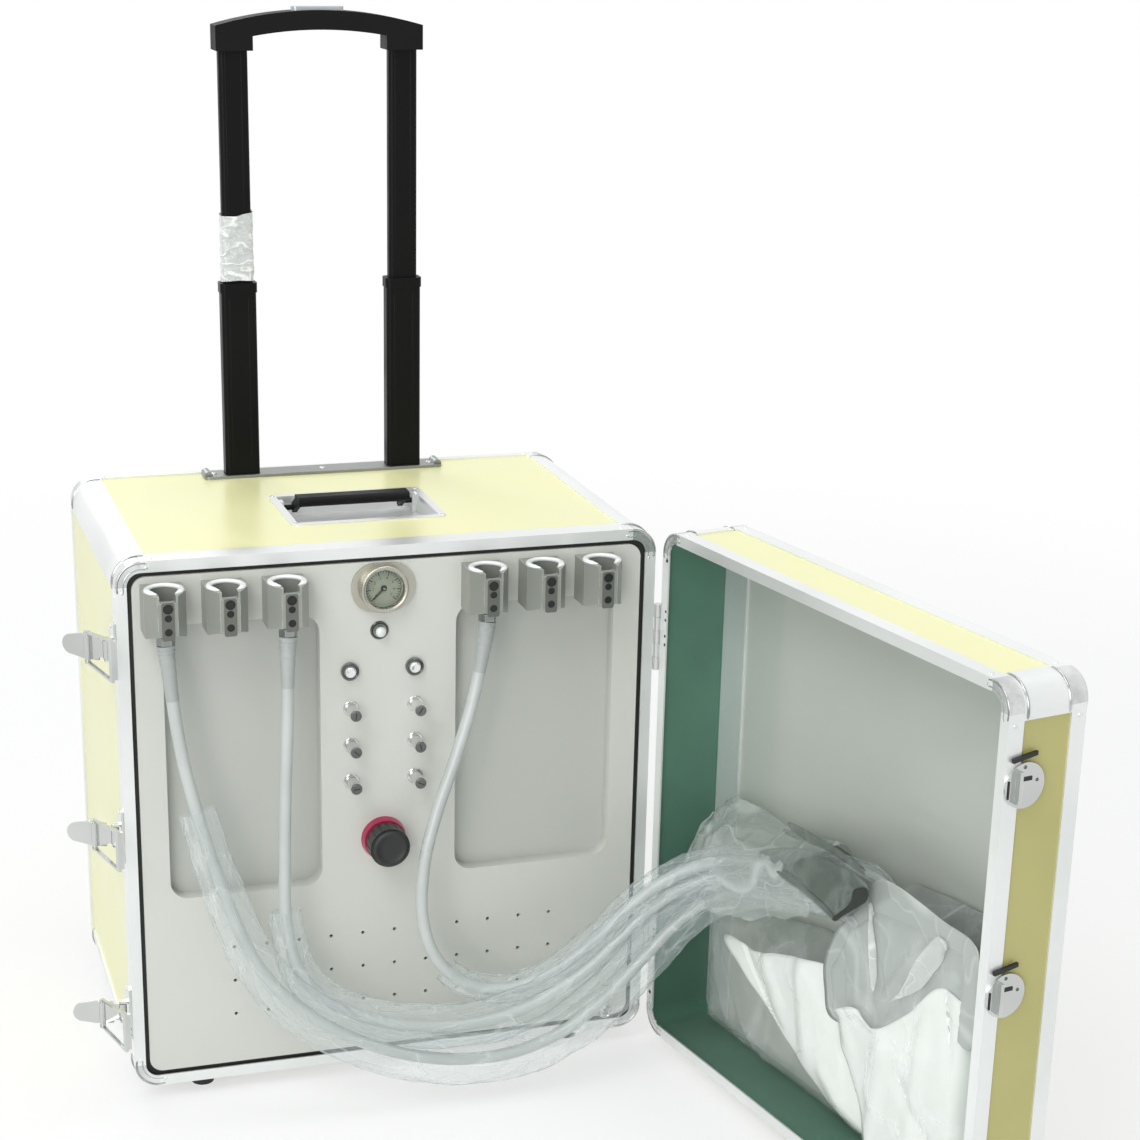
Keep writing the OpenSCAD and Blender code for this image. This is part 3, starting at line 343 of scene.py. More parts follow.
def new_surface(name: str) -> tuple[bpy.types.Material, Graph, bpy.types.Node]:
    """Makes a material with one main shader.

    Args:
        name: The material's name.

    Returns:
        The material, its graph and the shader.
    """
    material = bpy.data.materials.new(name)
    material.use_nodes = True
    graph = Graph(material.node_tree)
    output = graph.add("ShaderNodeOutputMaterial")
    shader = graph.add("ShaderNodeBsdfPrincipled")
    graph.tree.links.new(shader.outputs[0], output.inputs["Surface"])
    return material, graph, shader


class SurfaceGroups:
    """The effects that more than one finish uses, each a node group built once."""

    def __init__(self) -> None:
        """Starts with no group built."""
        self._built: dict[str, bpy.types.NodeTree] = {}

    def get(self, name: str) -> bpy.types.NodeTree:
        """Gives a group by name and builds it the first time."""
        if name not in self._built:
            self._built[name] = getattr(self, f"_build_{name}")()
        return self._built[name]

    @staticmethod
    def _open(name: str, inputs: Mapping[str, str], outputs: Mapping[str, str]) -> tuple[Graph, Any, Any]:
        """Makes an empty group with named sockets.

        Args:
            name: The group's name.
            inputs: Input names and their socket kinds.
            outputs: Output names and their socket kinds.

        Returns:
            The graph, the group's input node and its output node.
        """
        tree = bpy.data.node_groups.new(name, "ShaderNodeTree")
        graph = Graph(tree)
        for in_out, sockets in (("INPUT", inputs), ("OUTPUT", outputs)):
            for socket, kind in sockets.items():
                tree.interface.new_socket(socket, in_out=in_out, socket_type=f"NodeSocket{kind}")
        return graph, graph.add("NodeGroupInput"), graph.add("NodeGroupOutput")

    def _build_tone_drift(self) -> bpy.types.NodeTree:
        """A colour that drifts softly towards a second one."""
        graph, given, result = self._open(
            "tone_drift",
            {"Colour": "Color", "Drift": "Color", "Scale": "Float", "Amount": "Float"},
            {"Colour": "Color"},
        )
        place = graph.add("ShaderNodeTexCoord").outputs["Object"]
        clouds = graph.add(
            "ShaderNodeTexNoise", {"Vector": place, "Scale": given.outputs["Scale"], "Detail": 4.0}
        ).outputs[0]
        share = graph.math("MULTIPLY", graph.ramp(clouds, 0.3, 0.7), given.outputs["Amount"])
        colour = graph.mix(share, given.outputs["Colour"], given.outputs["Drift"])
        graph.tree.links.new(colour, result.inputs["Colour"])
        return graph.tree

    def _build_grain(self) -> bpy.types.NodeTree:
        """A fine surface relief, drawn out along one axis by Stretch."""
        graph, given, result = self._open(
            "grain", {"Scale": "Float", "Stretch": "Vector"}, {"Height": "Float", "Mask": "Float"}
        )
        place = graph.add("ShaderNodeTexCoord").outputs["Object"]
        drawn = graph.add(
            "ShaderNodeVectorMath", {0: place, 1: given.outputs["Stretch"]}, operation="MULTIPLY"
        ).outputs[0]
        speck = graph.add(
            "ShaderNodeTexNoise",
            {"Vector": drawn, "Scale": given.outputs["Scale"], "Detail": 3.0, "Roughness": 0.65},
        ).outputs[0]
        graph.tree.links.new(speck, result.inputs["Height"])
        graph.tree.links.new(graph.ramp(speck, 0.42, 0.62), result.inputs["Mask"])
        return graph.tree

    def _build_smudges(self) -> bpy.types.NodeTree:
        """Roughness that varies where hands and cloths have been."""
        graph, given, result = self._open(
            "smudges", {"Low": "Float", "High": "Float", "Scale": "Float"}, {"Roughness": "Float"}
        )
        place = graph.add("ShaderNodeTexCoord").outputs["Object"]
        clouds = graph.add(
            "ShaderNodeTexNoise",
            {"Vector": place, "Scale": given.outputs["Scale"], "Detail": 5.0, "Distortion": 0.6},
        ).outputs[0]
        rough = graph.ramp(clouds, 0.32, 0.68, given.outputs["Low"], given.outputs["High"])
        graph.tree.links.new(rough, result.inputs["Roughness"])
        return graph.tree

    def _build_edge_wear(self) -> bpy.types.NodeTree:
        """A mask that is 1 on worn edges, broken up by noise."""
        graph, given, result = self._open("edge_wear", {"Radius": "Float", "Amount": "Float"}, {"Mask": "Float"})
        rounded = graph.add("ShaderNodeBevel", {"Radius": given.outputs["Radius"]}, samples=4).outputs[0]
        plain = graph.add("ShaderNodeNewGeometry").outputs["Normal"]
        same = graph.add("ShaderNodeVectorMath", {0: rounded, 1: plain}, operation="DOT_PRODUCT").outputs["Value"]
        place = graph.add("ShaderNodeTexCoord").outputs["Object"]
        broken = graph.add("ShaderNodeTexNoise", {"Vector": place, "Scale": 90.0, "Detail": 6.0}).outputs[0]
        edge = graph.ramp(same, 0.985, 0.88)
        chipped = graph.math("MULTIPLY", edge, graph.ramp(broken, 0.35, 0.6))
        mask = graph.math("MULTIPLY", chipped, given.outputs["Amount"])
        graph.tree.links.new(mask, result.inputs["Mask"])
        return graph.tree

    def _build_crinkle(self) -> bpy.types.NodeTree:
        """The folds of thin film: a relief and a mask of the creases, on the given coordinates."""
        graph, given, result = self._open(
            "crinkle", {"Vector": "Vector", "Scale": "Float"}, {"Height": "Float", "Crease": "Float"}
        )
        ridges = []
        for share, shift, power in ((1.0, 0.0, 3.0), (2.3, 7.3, 4.0)):
            moved = graph.add("ShaderNodeVectorMath", {0: given.outputs["Vector"], 1: (shift,) * 3}, operation="ADD")
            scale = graph.math("MULTIPLY", given.outputs["Scale"], share)
            soft = graph.add(
                "ShaderNodeTexNoise",
                {"Vector": moved.outputs[0], "Scale": scale, "Detail": 1.5, "Roughness": 0.45, "Distortion": 0.5},
            ).outputs[0]
            away = graph.math("MULTIPLY", graph.math("ABSOLUTE", graph.math("SUBTRACT", soft, 0.5)), 3.2)
            ridges.append(graph.math("POWER", graph.math("SUBTRACT", 1.0, away, clamp=True), power))
        height = graph.math("ADD", ridges[0], graph.math("MULTIPLY", ridges[1], 0.35))
        strong = graph.ramp(ridges[0], 0.72, 0.98)
        faint = graph.math("MULTIPLY", graph.ramp(ridges[1], 0.75, 0.98), 0.6)
        crease = graph.math("MAXIMUM", strong, faint)
        graph.tree.links.new(height, result.inputs["Height"])
        graph.tree.links.new(crease, result.inputs["Crease"])
        return graph.tree


GROUPS = SurfaceGroups()


class Grain(Enum):
    """How a surface's relief is drawn out, as multipliers along X, Y and Z."""

    EVEN = (1.0, 1.0, 1.0)
    ALONG_X = (0.03, 1.0, 1.0)
    ALONG_Y = (1.0, 0.03, 1.0)
    ALONG_Z = (1.0, 1.0, 0.03)


# ---------- Finishes ----------


@dataclass(frozen=True)
class Finish:
    """An opaque finish with drifting tone, grain, smudges and worn edges."""

    name: str
    colour: str
    drift: str
    roughness: tuple[float, float] = (0.4, 0.5)
    metallic: float = 0.0
    drift_scale: float = 7.0
    drift_amount: float = 0.6
    smudge_scale: float = 11.0
    grain: Grain = Grain.EVEN
    grain_scale: float = 900.0
    grain_height: float = 0.12
    grain_depth: float = 0.0004
    wear: float = 0.0
    wear_colour: str = "E4E5E2"
    wear_radius: float = 0.0012
    coat: float = 0.0
    coat_roughness: float = 0.15
    specular: float = 0.5
    sheen: float = 0.0

    def base(self, graph: Graph) -> bpy.types.NodeSocket:
        """Gives the surface colour before wear."""
        drift = graph.add("ShaderNodeGroup", node_tree=GROUPS.get("tone_drift"))
        drift.inputs["Colour"].default_value = (*srgb(self.colour), 1)
        drift.inputs["Drift"].default_value = (*srgb(self.drift), 1)
        drift.inputs["Scale"].default_value = self.drift_scale
        drift.inputs["Amount"].default_value = self.drift_amount
        return drift.outputs["Colour"]

    def build(self) -> bpy.types.Material:
        """Makes the material.

        Returns:
            The material, ready to be put in a slot.
        """
        material, graph, shader = new_surface(self.name)
        colour = self.base(graph)
        smudges = graph.add("ShaderNodeGroup", node_tree=GROUPS.get("smudges"))
        smudges.inputs["Low"].default_value, smudges.inputs["High"].default_value = self.roughness
        smudges.inputs["Scale"].default_value = self.smudge_scale
        grain = graph.add("ShaderNodeGroup", node_tree=GROUPS.get("grain"))
        grain.inputs["Scale"].default_value = self.grain_scale
        grain.inputs["Stretch"].default_value = self.grain.value
        bump = graph.add(
            "ShaderNodeBump",
            {"Height": grain.outputs["Height"], "Strength": self.grain_height, "Distance": self.grain_depth},
        )
        graph.tree.links.new(smudges.outputs["Roughness"], shader.inputs["Roughness"])
        graph.tree.links.new(bump.outputs[0], shader.inputs["Normal"])
        if self.wear > 0:
            wear = graph.add("ShaderNodeGroup", node_tree=GROUPS.get("edge_wear"))
            wear.inputs["Radius"].default_value = self.wear_radius
            wear.inputs["Amount"].default_value = self.wear
            colour = graph.mix(wear.outputs["Mask"], colour, (*srgb(self.wear_colour), 1))
        graph.tree.links.new(colour, shader.inputs["Base Color"])
        for socket, value in (
            ("Metallic", self.metallic),
            ("Coat Weight", self.coat),
            ("Coat Roughness", self.coat_roughness),
            ("Specular IOR Level", self.specular),
            ("Sheen Weight", self.sheen),
        ):
            shader.inputs[socket].default_value = value
        return material


@dataclass(frozen=True)
class FilmFinish:
    """Thin clear plastic film: folded, glossy, and clearer where it is seen face on."""

    name: str
    colour: str
    crease_colour: str
    clear: float
    hazy: float
    crease: float
    scale: float
    depth: float = 0.003
    strength: float = 0.7
    stretch: Point = (1.0, 1.0, 1.0)
    on_uv: bool = False
    roughness: float = 0.2

    def build(self) -> bpy.types.Material:
        """Makes the material.

        Returns:
            The material, ready to be put in a slot.
        """
        material, graph, shader = new_surface(self.name)
        place = graph.add("ShaderNodeTexCoord").outputs["UV" if self.on_uv else "Object"]
        drawn = graph.add("ShaderNodeVectorMath", {0: place, 1: self.stretch}, operation="MULTIPLY").outputs[0]
        folds = graph.add("ShaderNodeGroup", node_tree=GROUPS.get("crinkle"))
        graph.tree.links.new(drawn, folds.inputs["Vector"])
        folds.inputs["Scale"].default_value = self.scale
        bump = graph.add(
            "ShaderNodeBump",
            {"Height": folds.outputs["Height"], "Strength": self.strength, "Distance": self.depth},
        )
        facing = graph.add("ShaderNodeLayerWeight", {"Blend": 0.3, "Normal": bump.outputs[0]}).outputs["Facing"]
        veil = graph.ramp(facing, 0.0, 0.95, self.clear, self.hazy)
        alpha = graph.math("ADD", veil, graph.math("MULTIPLY", folds.outputs["Crease"], self.crease), clamp=True)
        colour = graph.mix(folds.outputs["Crease"], (*srgb(self.colour), 1), (*srgb(self.crease_colour), 1))
        graph.tree.links.new(colour, shader.inputs["Base Color"])
        graph.tree.links.new(alpha, shader.inputs["Alpha"])
        graph.tree.links.new(bump.outputs[0], shader.inputs["Normal"])
        shader.inputs["Roughness"].default_value = self.roughness
        shader.inputs["Specular IOR Level"].default_value = 0.8
        shader.inputs["Coat Weight"].default_value = 0.7
        shader.inputs["Coat Roughness"].default_value = 0.08
        return material


@dataclass(frozen=True)
class PanelFinish(Finish):
    """Moulded light grey plastic, with painted shade that makes it duller and darker down in the hose recesses."""

    # colour of the painted shade on the recess floors
    sunk: str = "BFC1BB"
    face_y: float = -149.5
    floor_y: float = -139.0

    def base(self, graph: Graph) -> bpy.types.NodeSocket:
        """Gives the surface colour before wear."""
        plain = super().base(graph)
        place = graph.add("ShaderNodeTexCoord").outputs["Object"]
        parts = graph.add("ShaderNodeSeparateXYZ", {0: place})
        # painted shade: from the panel's face down to the recess floor the colour turns to the shade colour
        share = graph.ramp(parts.outputs[1], self.face_y * MM, self.floor_y * MM)
        return graph.mix(share, plain, (*srgb(self.sunk), 1))


@dataclass(frozen=True)
class LaminateFinish(Finish):
    """Champagne laminate, with painted light that makes it paler on the top and the left, the faces turned towards the
    lamps.
    """

    # colour of the painted light on faces turned up or to the left
    pale: str = "F3F1BA"

    def base(self, graph: Graph) -> bpy.types.NodeSocket:
        """Gives the surface colour before wear."""
        deep = super().base(graph)
        way = graph.add("ShaderNodeTexCoord").outputs["Normal"]
        parts = graph.add("ShaderNodeSeparateXYZ", {0: way})
        # painted light: the more a face turns up or to the left, towards the lamps, the paler it gets
        lit = graph.math("MAXIMUM", parts.outputs[2], graph.math("MULTIPLY", parts.outputs[0], -1.0))
        speck = graph.add(
            "ShaderNodeTexNoise",
            {"Vector": graph.add("ShaderNodeTexCoord").outputs["Object"], "Scale": 2.5, "Detail": 2.0},
        ).outputs[0]
        painted_light_share = graph.ramp(lit, 0.35, 0.95, 0.0, 0.92)
        share = graph.math("ADD", painted_light_share, graph.math("MULTIPLY", speck, 0.08), clamp=True)
        return graph.mix(share, deep, (*srgb(self.pale), 1))


@dataclass(frozen=True)
class GlassFinish:
    """Clear glass or a clear moulded cover with faint smears."""

    name: str
    colour: str
    roughness: tuple[float, float] = (0.02, 0.08)

    def build(self) -> bpy.types.Material:
        """Makes the material.

        Returns:
            The material, ready to be put in a slot.
        """
        material, graph, shader = new_surface(self.name)
        smears = graph.add("ShaderNodeGroup", node_tree=GROUPS.get("smudges"))
        smears.inputs["Low"].default_value, smears.inputs["High"].default_value = self.roughness
        smears.inputs["Scale"].default_value = 60.0
        graph.tree.links.new(smears.outputs["Roughness"], shader.inputs["Roughness"])
        shader.inputs["Base Color"].default_value = (*srgb(self.colour), 1)
        shader.inputs["Transmission Weight"].default_value = 1.0
        shader.inputs["IOR"].default_value = 1.2
        return material


class Paint:
    """Every finish of the unit, by name, each made once."""

    FINISHES: tuple[Finish | FilmFinish | GlassFinish, ...] = (
        LaminateFinish(
            "gold_laminate", "BDB673", "AFA965", (0.30, 0.42), grain_scale=520, grain_height=0.25,
            drift_amount=0.5, coat=0.25, coat_roughness=0.2,
        ),
        Finish(
            "profile_x", "F0F2F1", "DFE2E0", (0.30, 0.40), 0.6, grain=Grain.ALONG_X, grain_scale=600,
            grain_height=0.06,
        ),
        Finish(
            "profile_y", "F0F2F1", "DFE2E0", (0.30, 0.40), 0.6, grain=Grain.ALONG_Y, grain_scale=600,
            grain_height=0.06,
        ),
        Finish(
            "casting", "E9EBEA", "A3A7A6", (0.16, 0.3), 0.85, grain_scale=260, grain_height=0.08,
            drift_scale=34, drift_amount=0.7,
        ),
        Finish(
            "tray_silver", "F0F1F0", "D6D8D7", (0.28, 0.4), 0.6, grain=Grain.ALONG_X, grain_scale=900,
            grain_height=0.15, wear=0.4,
        ),
        Finish(
            "nickel", "D2D4D2", "B9BCBA", (0.12, 0.26), 1.0, grain_scale=700, grain_height=0.08,
            wear=0.5, wear_colour="F2F3F1",
        ),
        PanelFinish(
            "panel_grey", "D3D4CD", "CBCDC6", (0.34, 0.46), grain_scale=1500, grain_height=0.16,
            drift_scale=3.0, coat=0.12, coat_roughness=0.25,
        ),
        Finish(
            "holder_grey", "949790", "84877F", (0.30, 0.40), grain_scale=1300, grain_height=0.12,
            wear=0.5, wear_colour="F1F3F1", coat=0.2,
        ),
        Finish(
            "plate_steel", "9B9E9C", "7F8280", (0.25, 0.4), 0.9, grain=Grain.ALONG_X, grain_scale=1200,
            grain_height=0.2, wear=0.4,
        ),
        # white for the push buttons and the holders' rims; on the rims it is also painted light on their flat tops
        Finish(
            "rim_white", "F6F8F7", "EDEFEE", (0.22, 0.32), grain_scale=1400, grain_height=0.08, coat=0.3,
        ),
        Finish(
            "seal_black", "1B1E1B", "2A2D2A", (0.6, 0.8), grain_scale=600, grain_height=0.5,
        ),
        Finish(
            "port_black", "0D0F0E", "1C1F1D", (0.35, 0.5), grain_scale=1200, grain_height=0.2,
        ),
        Finish(
            "knob_nickel", "E2E4E3", "B9BCBB", (0.14, 0.26), 0.95, grain=Grain.ALONG_Y, grain_scale=2200,
            grain_height=0.35, wear=0.4,
        ),
        Finish(
            "knob_end", "737875", "5F6461", (0.28, 0.4), 0.8, grain_scale=1800, grain_height=0.2,
        ),
        Finish(
            "crimson", "AE2450", "931A40", (0.28, 0.4), grain_scale=900, grain_height=0.1, coat=0.35,
            drift_scale=30,
        ),
        Finish(
            "knob_black", "262A28", "1A1D1B", (0.38, 0.52), grain_scale=1400, grain_height=0.35,
            wear=0.3, wear_colour="4A4E4B",
        ),
        Finish(
            "handle_black", "070707", "0C0C0C", (0.34, 0.48), grain=Grain.ALONG_Z, grain_scale=1500,
            grain_height=0.12, wear=0.25, wear_colour="222323", specular=0.14,
        ),
        Finish(
            "grip_black", "0A0A0B", "101011", (0.42, 0.58), grain_scale=1100, grain_height=0.5,
            grain_depth=0.0006, specular=0.16,
        ),
        Finish(
            "release_silver", "C6C9CC", "B2B5B9", (0.25, 0.35), 0.5, grain=Grain.ALONG_X, grain_scale=1500,
            grain_height=0.2,
        ),
        Finish(
            "foot_rubber", "2B2D2B", "1E201E", (0.65, 0.85), grain_scale=700, grain_height=0.5,
        ),
        Finish(
            "tyre_rubber", "222423", "2F3130", (0.6, 0.8), grain_scale=500, grain_height=0.6, wear=0.3,
            wear_colour="4E504E",
        ),
        Finish(
            "bracket_steel", "8B908F", "777C7B", (0.3, 0.45), 0.8, grain_scale=600, grain_height=0.2, wear=0.4,
        ),
        Finish(
            "green_lining", "4D7A65", "3A6452", (0.5, 0.68), grain_scale=800, grain_height=0.55,
            drift_scale=5, drift_amount=0.8, sheen=0.25,
        ),
        Finish(
            "inner_grey", "BCC1B9", "B0B6AE", (0.28, 0.4), grain_scale=1200, grain_height=0.1,
            drift_scale=2.5, coat=0.6, coat_roughness=0.12,
        ),
        Finish(
            "hose_grey", "C3C8C6", "B3B9B7", (0.24, 0.36), grain_scale=500, grain_height=0.08,
            drift_scale=14, coat=0.5, coat_roughness=0.12,
        ),
        Finish(
            "boot_grey", "AEB3B1", "A0A5A3", (0.4, 0.5), grain_scale=900, grain_height=0.2,
        ),
        Finish(
            "dial_white", "A5A797", "989A89", (0.4, 0.5), grain_scale=900, grain_height=0.05, drift_scale=60,
        ),
        Finish("dial_ink", "3B4038", "2F332D", (0.5, 0.6), grain_scale=900, grain_height=0.05),
        Finish(
            "gauge_metal", "BDBBAF", "A5A396", (0.2, 0.32), 0.85, grain_scale=900, grain_height=0.1, wear=0.4,
        ),
        Finish(
            "lamp_lens", "E8ECE8", "D8DDD9", (0.08, 0.14), grain_scale=900, grain_height=0.03, coat=1.0,
            coat_roughness=0.03,
        ),
        Finish(
            "pump_grey", "5A5F66", "4C5158", (0.5, 0.7), grain_scale=400, grain_height=0.5, wear=0.3,
        ),
        Finish(
            "tank_blue", "6E7883", "5F6973", (0.4, 0.55), grain_scale=700, grain_height=0.3, wear=0.3,
        ),
        FilmFinish(
            "sleeve_film", "D9E3E4", "EEF4F4", 0.16, 0.58, 0.14, 3.0, 0.0022, 0.7, (2.2, 5.0, 1.0), True,
        ),
        FilmFinish("pouch_film", "D2D8D4", "ECF0ED", 0.17, 0.62, 0.05, 6, 0.006, 0.5, (1.0, 1.0, 0.8)),
        FilmFinish("veil_film", "B9C1BC", "E3E9E6", 0.36, 0.70, 0.07, 9, 0.005, 0.6),
        # grey flap film; where its top is raised by the mouth it also stands in for painted shadow on the back panel
        FilmFinish("flap_film_and_shade", "B4BAB6", "C8CEC9", 0.88, 0.96, 0.03, 7, 0.005, 0.35),
        # whiter double film, which also stands in for painted highlights on the right pouch
        FilmFinish("double_film_highlight", "EEF2EF", "FAFCFB", 0.36, 0.50, 0.2, 14, 0.003, 0.4),
        FilmFinish("wrap_film", "E9ECEC", "FDFEFE", 0.74, 0.95, 0.2, 36, 0.002, 0.6, (1.0, 1.0, 2.0)),
        # painted shade: the next three finishes darken the pouch's mouth and the veil's top edge
        FilmFinish("mouth_shade", "5C655F", "6F7872", 0.62, 0.8, 0.1, 14, 0.004, 0.5),
        FilmFinish("wide_mouth_shade", "7B857E", "8E9891", 0.3, 0.45, 0.1, 14, 0.004, 0.5),
        Finish("black_painted_shade", "1A201D", "2B322E", (0.4, 0.6), grain_scale=300, grain_height=0.3),
        Finish(
            "lining_white", "FDFFFC", "F4F8F3", (0.55, 0.7), grain_scale=300, grain_height=0.35,
            grain_depth=0.001, drift_scale=16, sheen=0.1,
        ),
        Finish(
            "polished", "E9EBEA", "CDD0CF", (0.06, 0.14), 1.0, grain_scale=900, grain_height=0.04,
        ),
        Finish(
            "bead_chrome", "C9CCCB", "777B7A", (0.08, 0.2), 1.0, grain_scale=500, grain_height=0.05,
            drift_scale=60, drift_amount=0.8,
        ),
        Finish(
            "dark_chrome", "6E7270", "565A58", (0.12, 0.22), 1.0, grain_scale=900, grain_height=0.06,
        ),
        Finish(
            "socket_grey", "676A63", "575A53", (0.35, 0.45), grain_scale=1200, grain_height=0.1,
        ),
        GlassFinish("clear_glass", "F4F8F6"),
    )
    RECIPES = {finish.name: finish for finish in FINISHES}

    def __init__(self) -> None:
        """Starts with no material made."""
        self._made: dict[str, bpy.types.Material] = {}

    def __getitem__(self, name: str) -> bpy.types.Material:
        """Gives a finish's material, and makes it the first time."""
        if name not in self._made:
            self._made[name] = self.RECIPES[name].build()
        return self._made[name]


# ---------- The unit's main planes ----------


@dataclass(frozen=True)
class UnitPlanes:
    """Sizes that several sub-assemblies share, in millimetres, as the CAD source has them."""

    case_w: float = 480
    case_d: float = 305
    case_h: float = 490
    edge_r: float = 22
    panel_y: float = -151.5
    holder_y: float = -173.5
    holder_top: float = 470
    pivot: Point = (244, -153, 0)
    rim_y: float = -153.5
    door_t: float = 72
    door_open: float = 101

    def on_door(self, along: float, up: float, deep: float) -> Vector:
        """Finds a place in the open door.

        Args:
            along: Distance from the hinge side, in millimetres.
            up: Height.
            deep: Distance in from the rim.

        Returns:
            The place, in metres.
        """
        return self.open_matrix() @ mm(self.case_w / 2 - along, self.rim_y - deep, up)

    def open_matrix(self) -> Matrix:
        """Gives the turn that takes the shut door to the open one."""
        pivot = mm(*self.pivot)
        turn = Matrix.Rotation(math.radians(self.door_open), 4, "Z")
        return Matrix.Translation(pivot) @ turn @ Matrix.Translation(-pivot)


PLANES = UnitPlanes()


# ---------- Camera, floor and light ----------


@dataclass(frozen=True)
class PhotoCamera:
    """The camera, worked out from the corners of the case and the door in the photograph."""

    place: Point = (-0.47684, -2.05370, 1.03291)
    azimuth: float = 17.00
    elevation: float = 19.22
    roll: float = 0.84
    lens: float = 74.54
    sensor: float = 36.0
    shift: tuple[float, float] = (0.0544, 0.1140)

    def build(self) -> bpy.types.Object:
        """Makes the camera and sets it as the scene's.

        Returns:
            The camera.
        """
        a, e, r = (math.radians(x) for x in (self.azimuth, self.elevation, self.roll))
        ahead = Vector((math.sin(a) * math.cos(e), math.cos(a) * math.cos(e), -math.sin(e)))
        right = Vector((math.cos(a), -math.sin(a), 0))
        up = right.cross(ahead)
        right, up = right * math.cos(r) + up * math.sin(r), up * math.cos(r) - right * math.sin(r)
        data = bpy.data.cameras.new("photo_camera")
        data.sensor_fit, data.sensor_width, data.lens = "AUTO", self.sensor, self.lens
        data.shift_x, data.shift_y = self.shift
        data.clip_start, data.clip_end = 0.05, 60.0
        camera = bpy.data.objects.new("photo_camera", data)
        turn = Matrix((right, up, -ahead)).transposed().to_4x4()
        camera.matrix_world = Matrix.Translation(Vector(self.place)) @ turn
        bpy.context.scene.collection.objects.link(camera)
        bpy.context.scene.camera = camera
        return camera


@dataclass(frozen=True)
class Lamp:
    """One soft studio lamp."""

    name: str
    place: Point
    aim: Point
    size: float
    watts: float
    tint: str = "FFFFFF"

    def build(self) -> bpy.types.Object:
        """Makes the lamp, facing its aim."""
        data = bpy.data.lights.new(self.name, "AREA")
        data.shape, data.size = "DISK", self.size
        data.energy, data.color = self.watts, srgb(self.tint)
        lamp = bpy.data.objects.new(self.name, data)
        lamp.location = self.place
        lamp.rotation_euler = (Vector(self.aim) - Vector(self.place)).to_track_quat("-Z", "Y").to_euler()
        bpy.context.scene.collection.objects.link(lamp)
        return lamp


class Studio:
    """A plain white room: pale floor, white surroundings and soft lamps."""

    floor_z = -15.0
    floor_r = 14.0
    near = 0.7
    far = 2.4
    ambient = 0.49
    lamps = (
        Lamp("key", (-1.5, -1.6, 2.7), (0.05, -0.1, 0.3), 1.7, 33.0),
        Lamp("overhead", (0.5, -0.2, 3.1), (0.2, -0.1, 0.4), 1.8, 20.0),
        Lamp("door_fill", (-1.3, -2.4, 0.9), (0.4, -0.35, 0.2), 1.3, 18.0),
        Lamp("back_rim", (-0.6, 2.4, 2.0), (0.0, 0.0, 0.4), 1.4, 18.0),
    )

    def build(self) -> None:
        """Makes the floor, the world and the lamps."""
        world = bpy.data.worlds.new("white_room")
        bpy.context.scene.world = world
        world.use_nodes = True
        graph = Graph(world.node_tree)
        path = graph.add("ShaderNodeLightPath")
        seen = graph.math("MAXIMUM", path.outputs["Is Camera Ray"], path.outputs["Is Glossy Ray"])
        seen = graph.math("MAXIMUM", seen, path.outputs["Is Transmission Ray"])
        lit = graph.add("ShaderNodeBackground", {"Color": (0.94, 0.99, 0.975, 1), "Strength": self.ambient})
        white = graph.add("ShaderNodeBackground", {"Color": (1, 1, 1, 1), "Strength": 1.0})
        both = graph.add("ShaderNodeMixShader", {0: seen, 1: lit.outputs[0], 2: white.outputs[0]})
        output = graph.add("ShaderNodeOutputWorld")
        graph.tree.links.new(both.outputs[0], output.inputs["Surface"])
        for lamp in self.lamps:
            lamp.build()
        self._floor()
        scene = bpy.context.scene
        scene.view_settings.view_transform = "Standard"

    def _floor(self) -> None:
        """Makes a wide pale floor that keeps the shadow near the unit and is white far off."""
        shell, sides = Shell(), 64
        ways = [Vector((math.cos(TAU * k / sides), math.sin(TAU * k / sides), 0)) for k in range(sides)]
        shell.add_rings([[way * r for way in ways] for r in (0.01, 0.5, 1.5, self.floor_r)], caps=False)
        for i, point in enumerate(shell.points):
            shell.points[i] = point + mm(0, 0, self.floor_z)
        shell.faces.append(tuple(range(sides)))
        material = bpy.data.materials.new("pale_floor")
        material.use_nodes = True
        graph = Graph(material.node_tree)
        place = graph.add("ShaderNodeTexCoord").outputs["Object"]
        distance = graph.add("ShaderNodeVectorMath", {0: place}, operation="LENGTH").outputs["Value"]
        plain = graph.add("ShaderNodeBsdfDiffuse", {"Color": (0.97, 0.97, 0.97, 1)})
        white = graph.add("ShaderNodeEmission", {"Color": (1, 1, 1, 1), "Strength": 1.0})
        path = graph.add("ShaderNodeLightPath")
        seen = graph.math("MAXIMUM", path.outputs["Is Camera Ray"], path.outputs["Is Glossy Ray"])
        share = graph.math("MULTIPLY", graph.ramp(distance, self.near, self.far, 0.55, 1.0), seen)
        both = graph.add("ShaderNodeMixShader", {0: share, 1: plain.outputs[0], 2: white.outputs[0]})
        output = graph.add("ShaderNodeOutputMaterial")
        graph.tree.links.new(both.outputs[0], output.inputs["Surface"])
        floor = shell.piece("floor", material)


# ---------- Hoses ----------


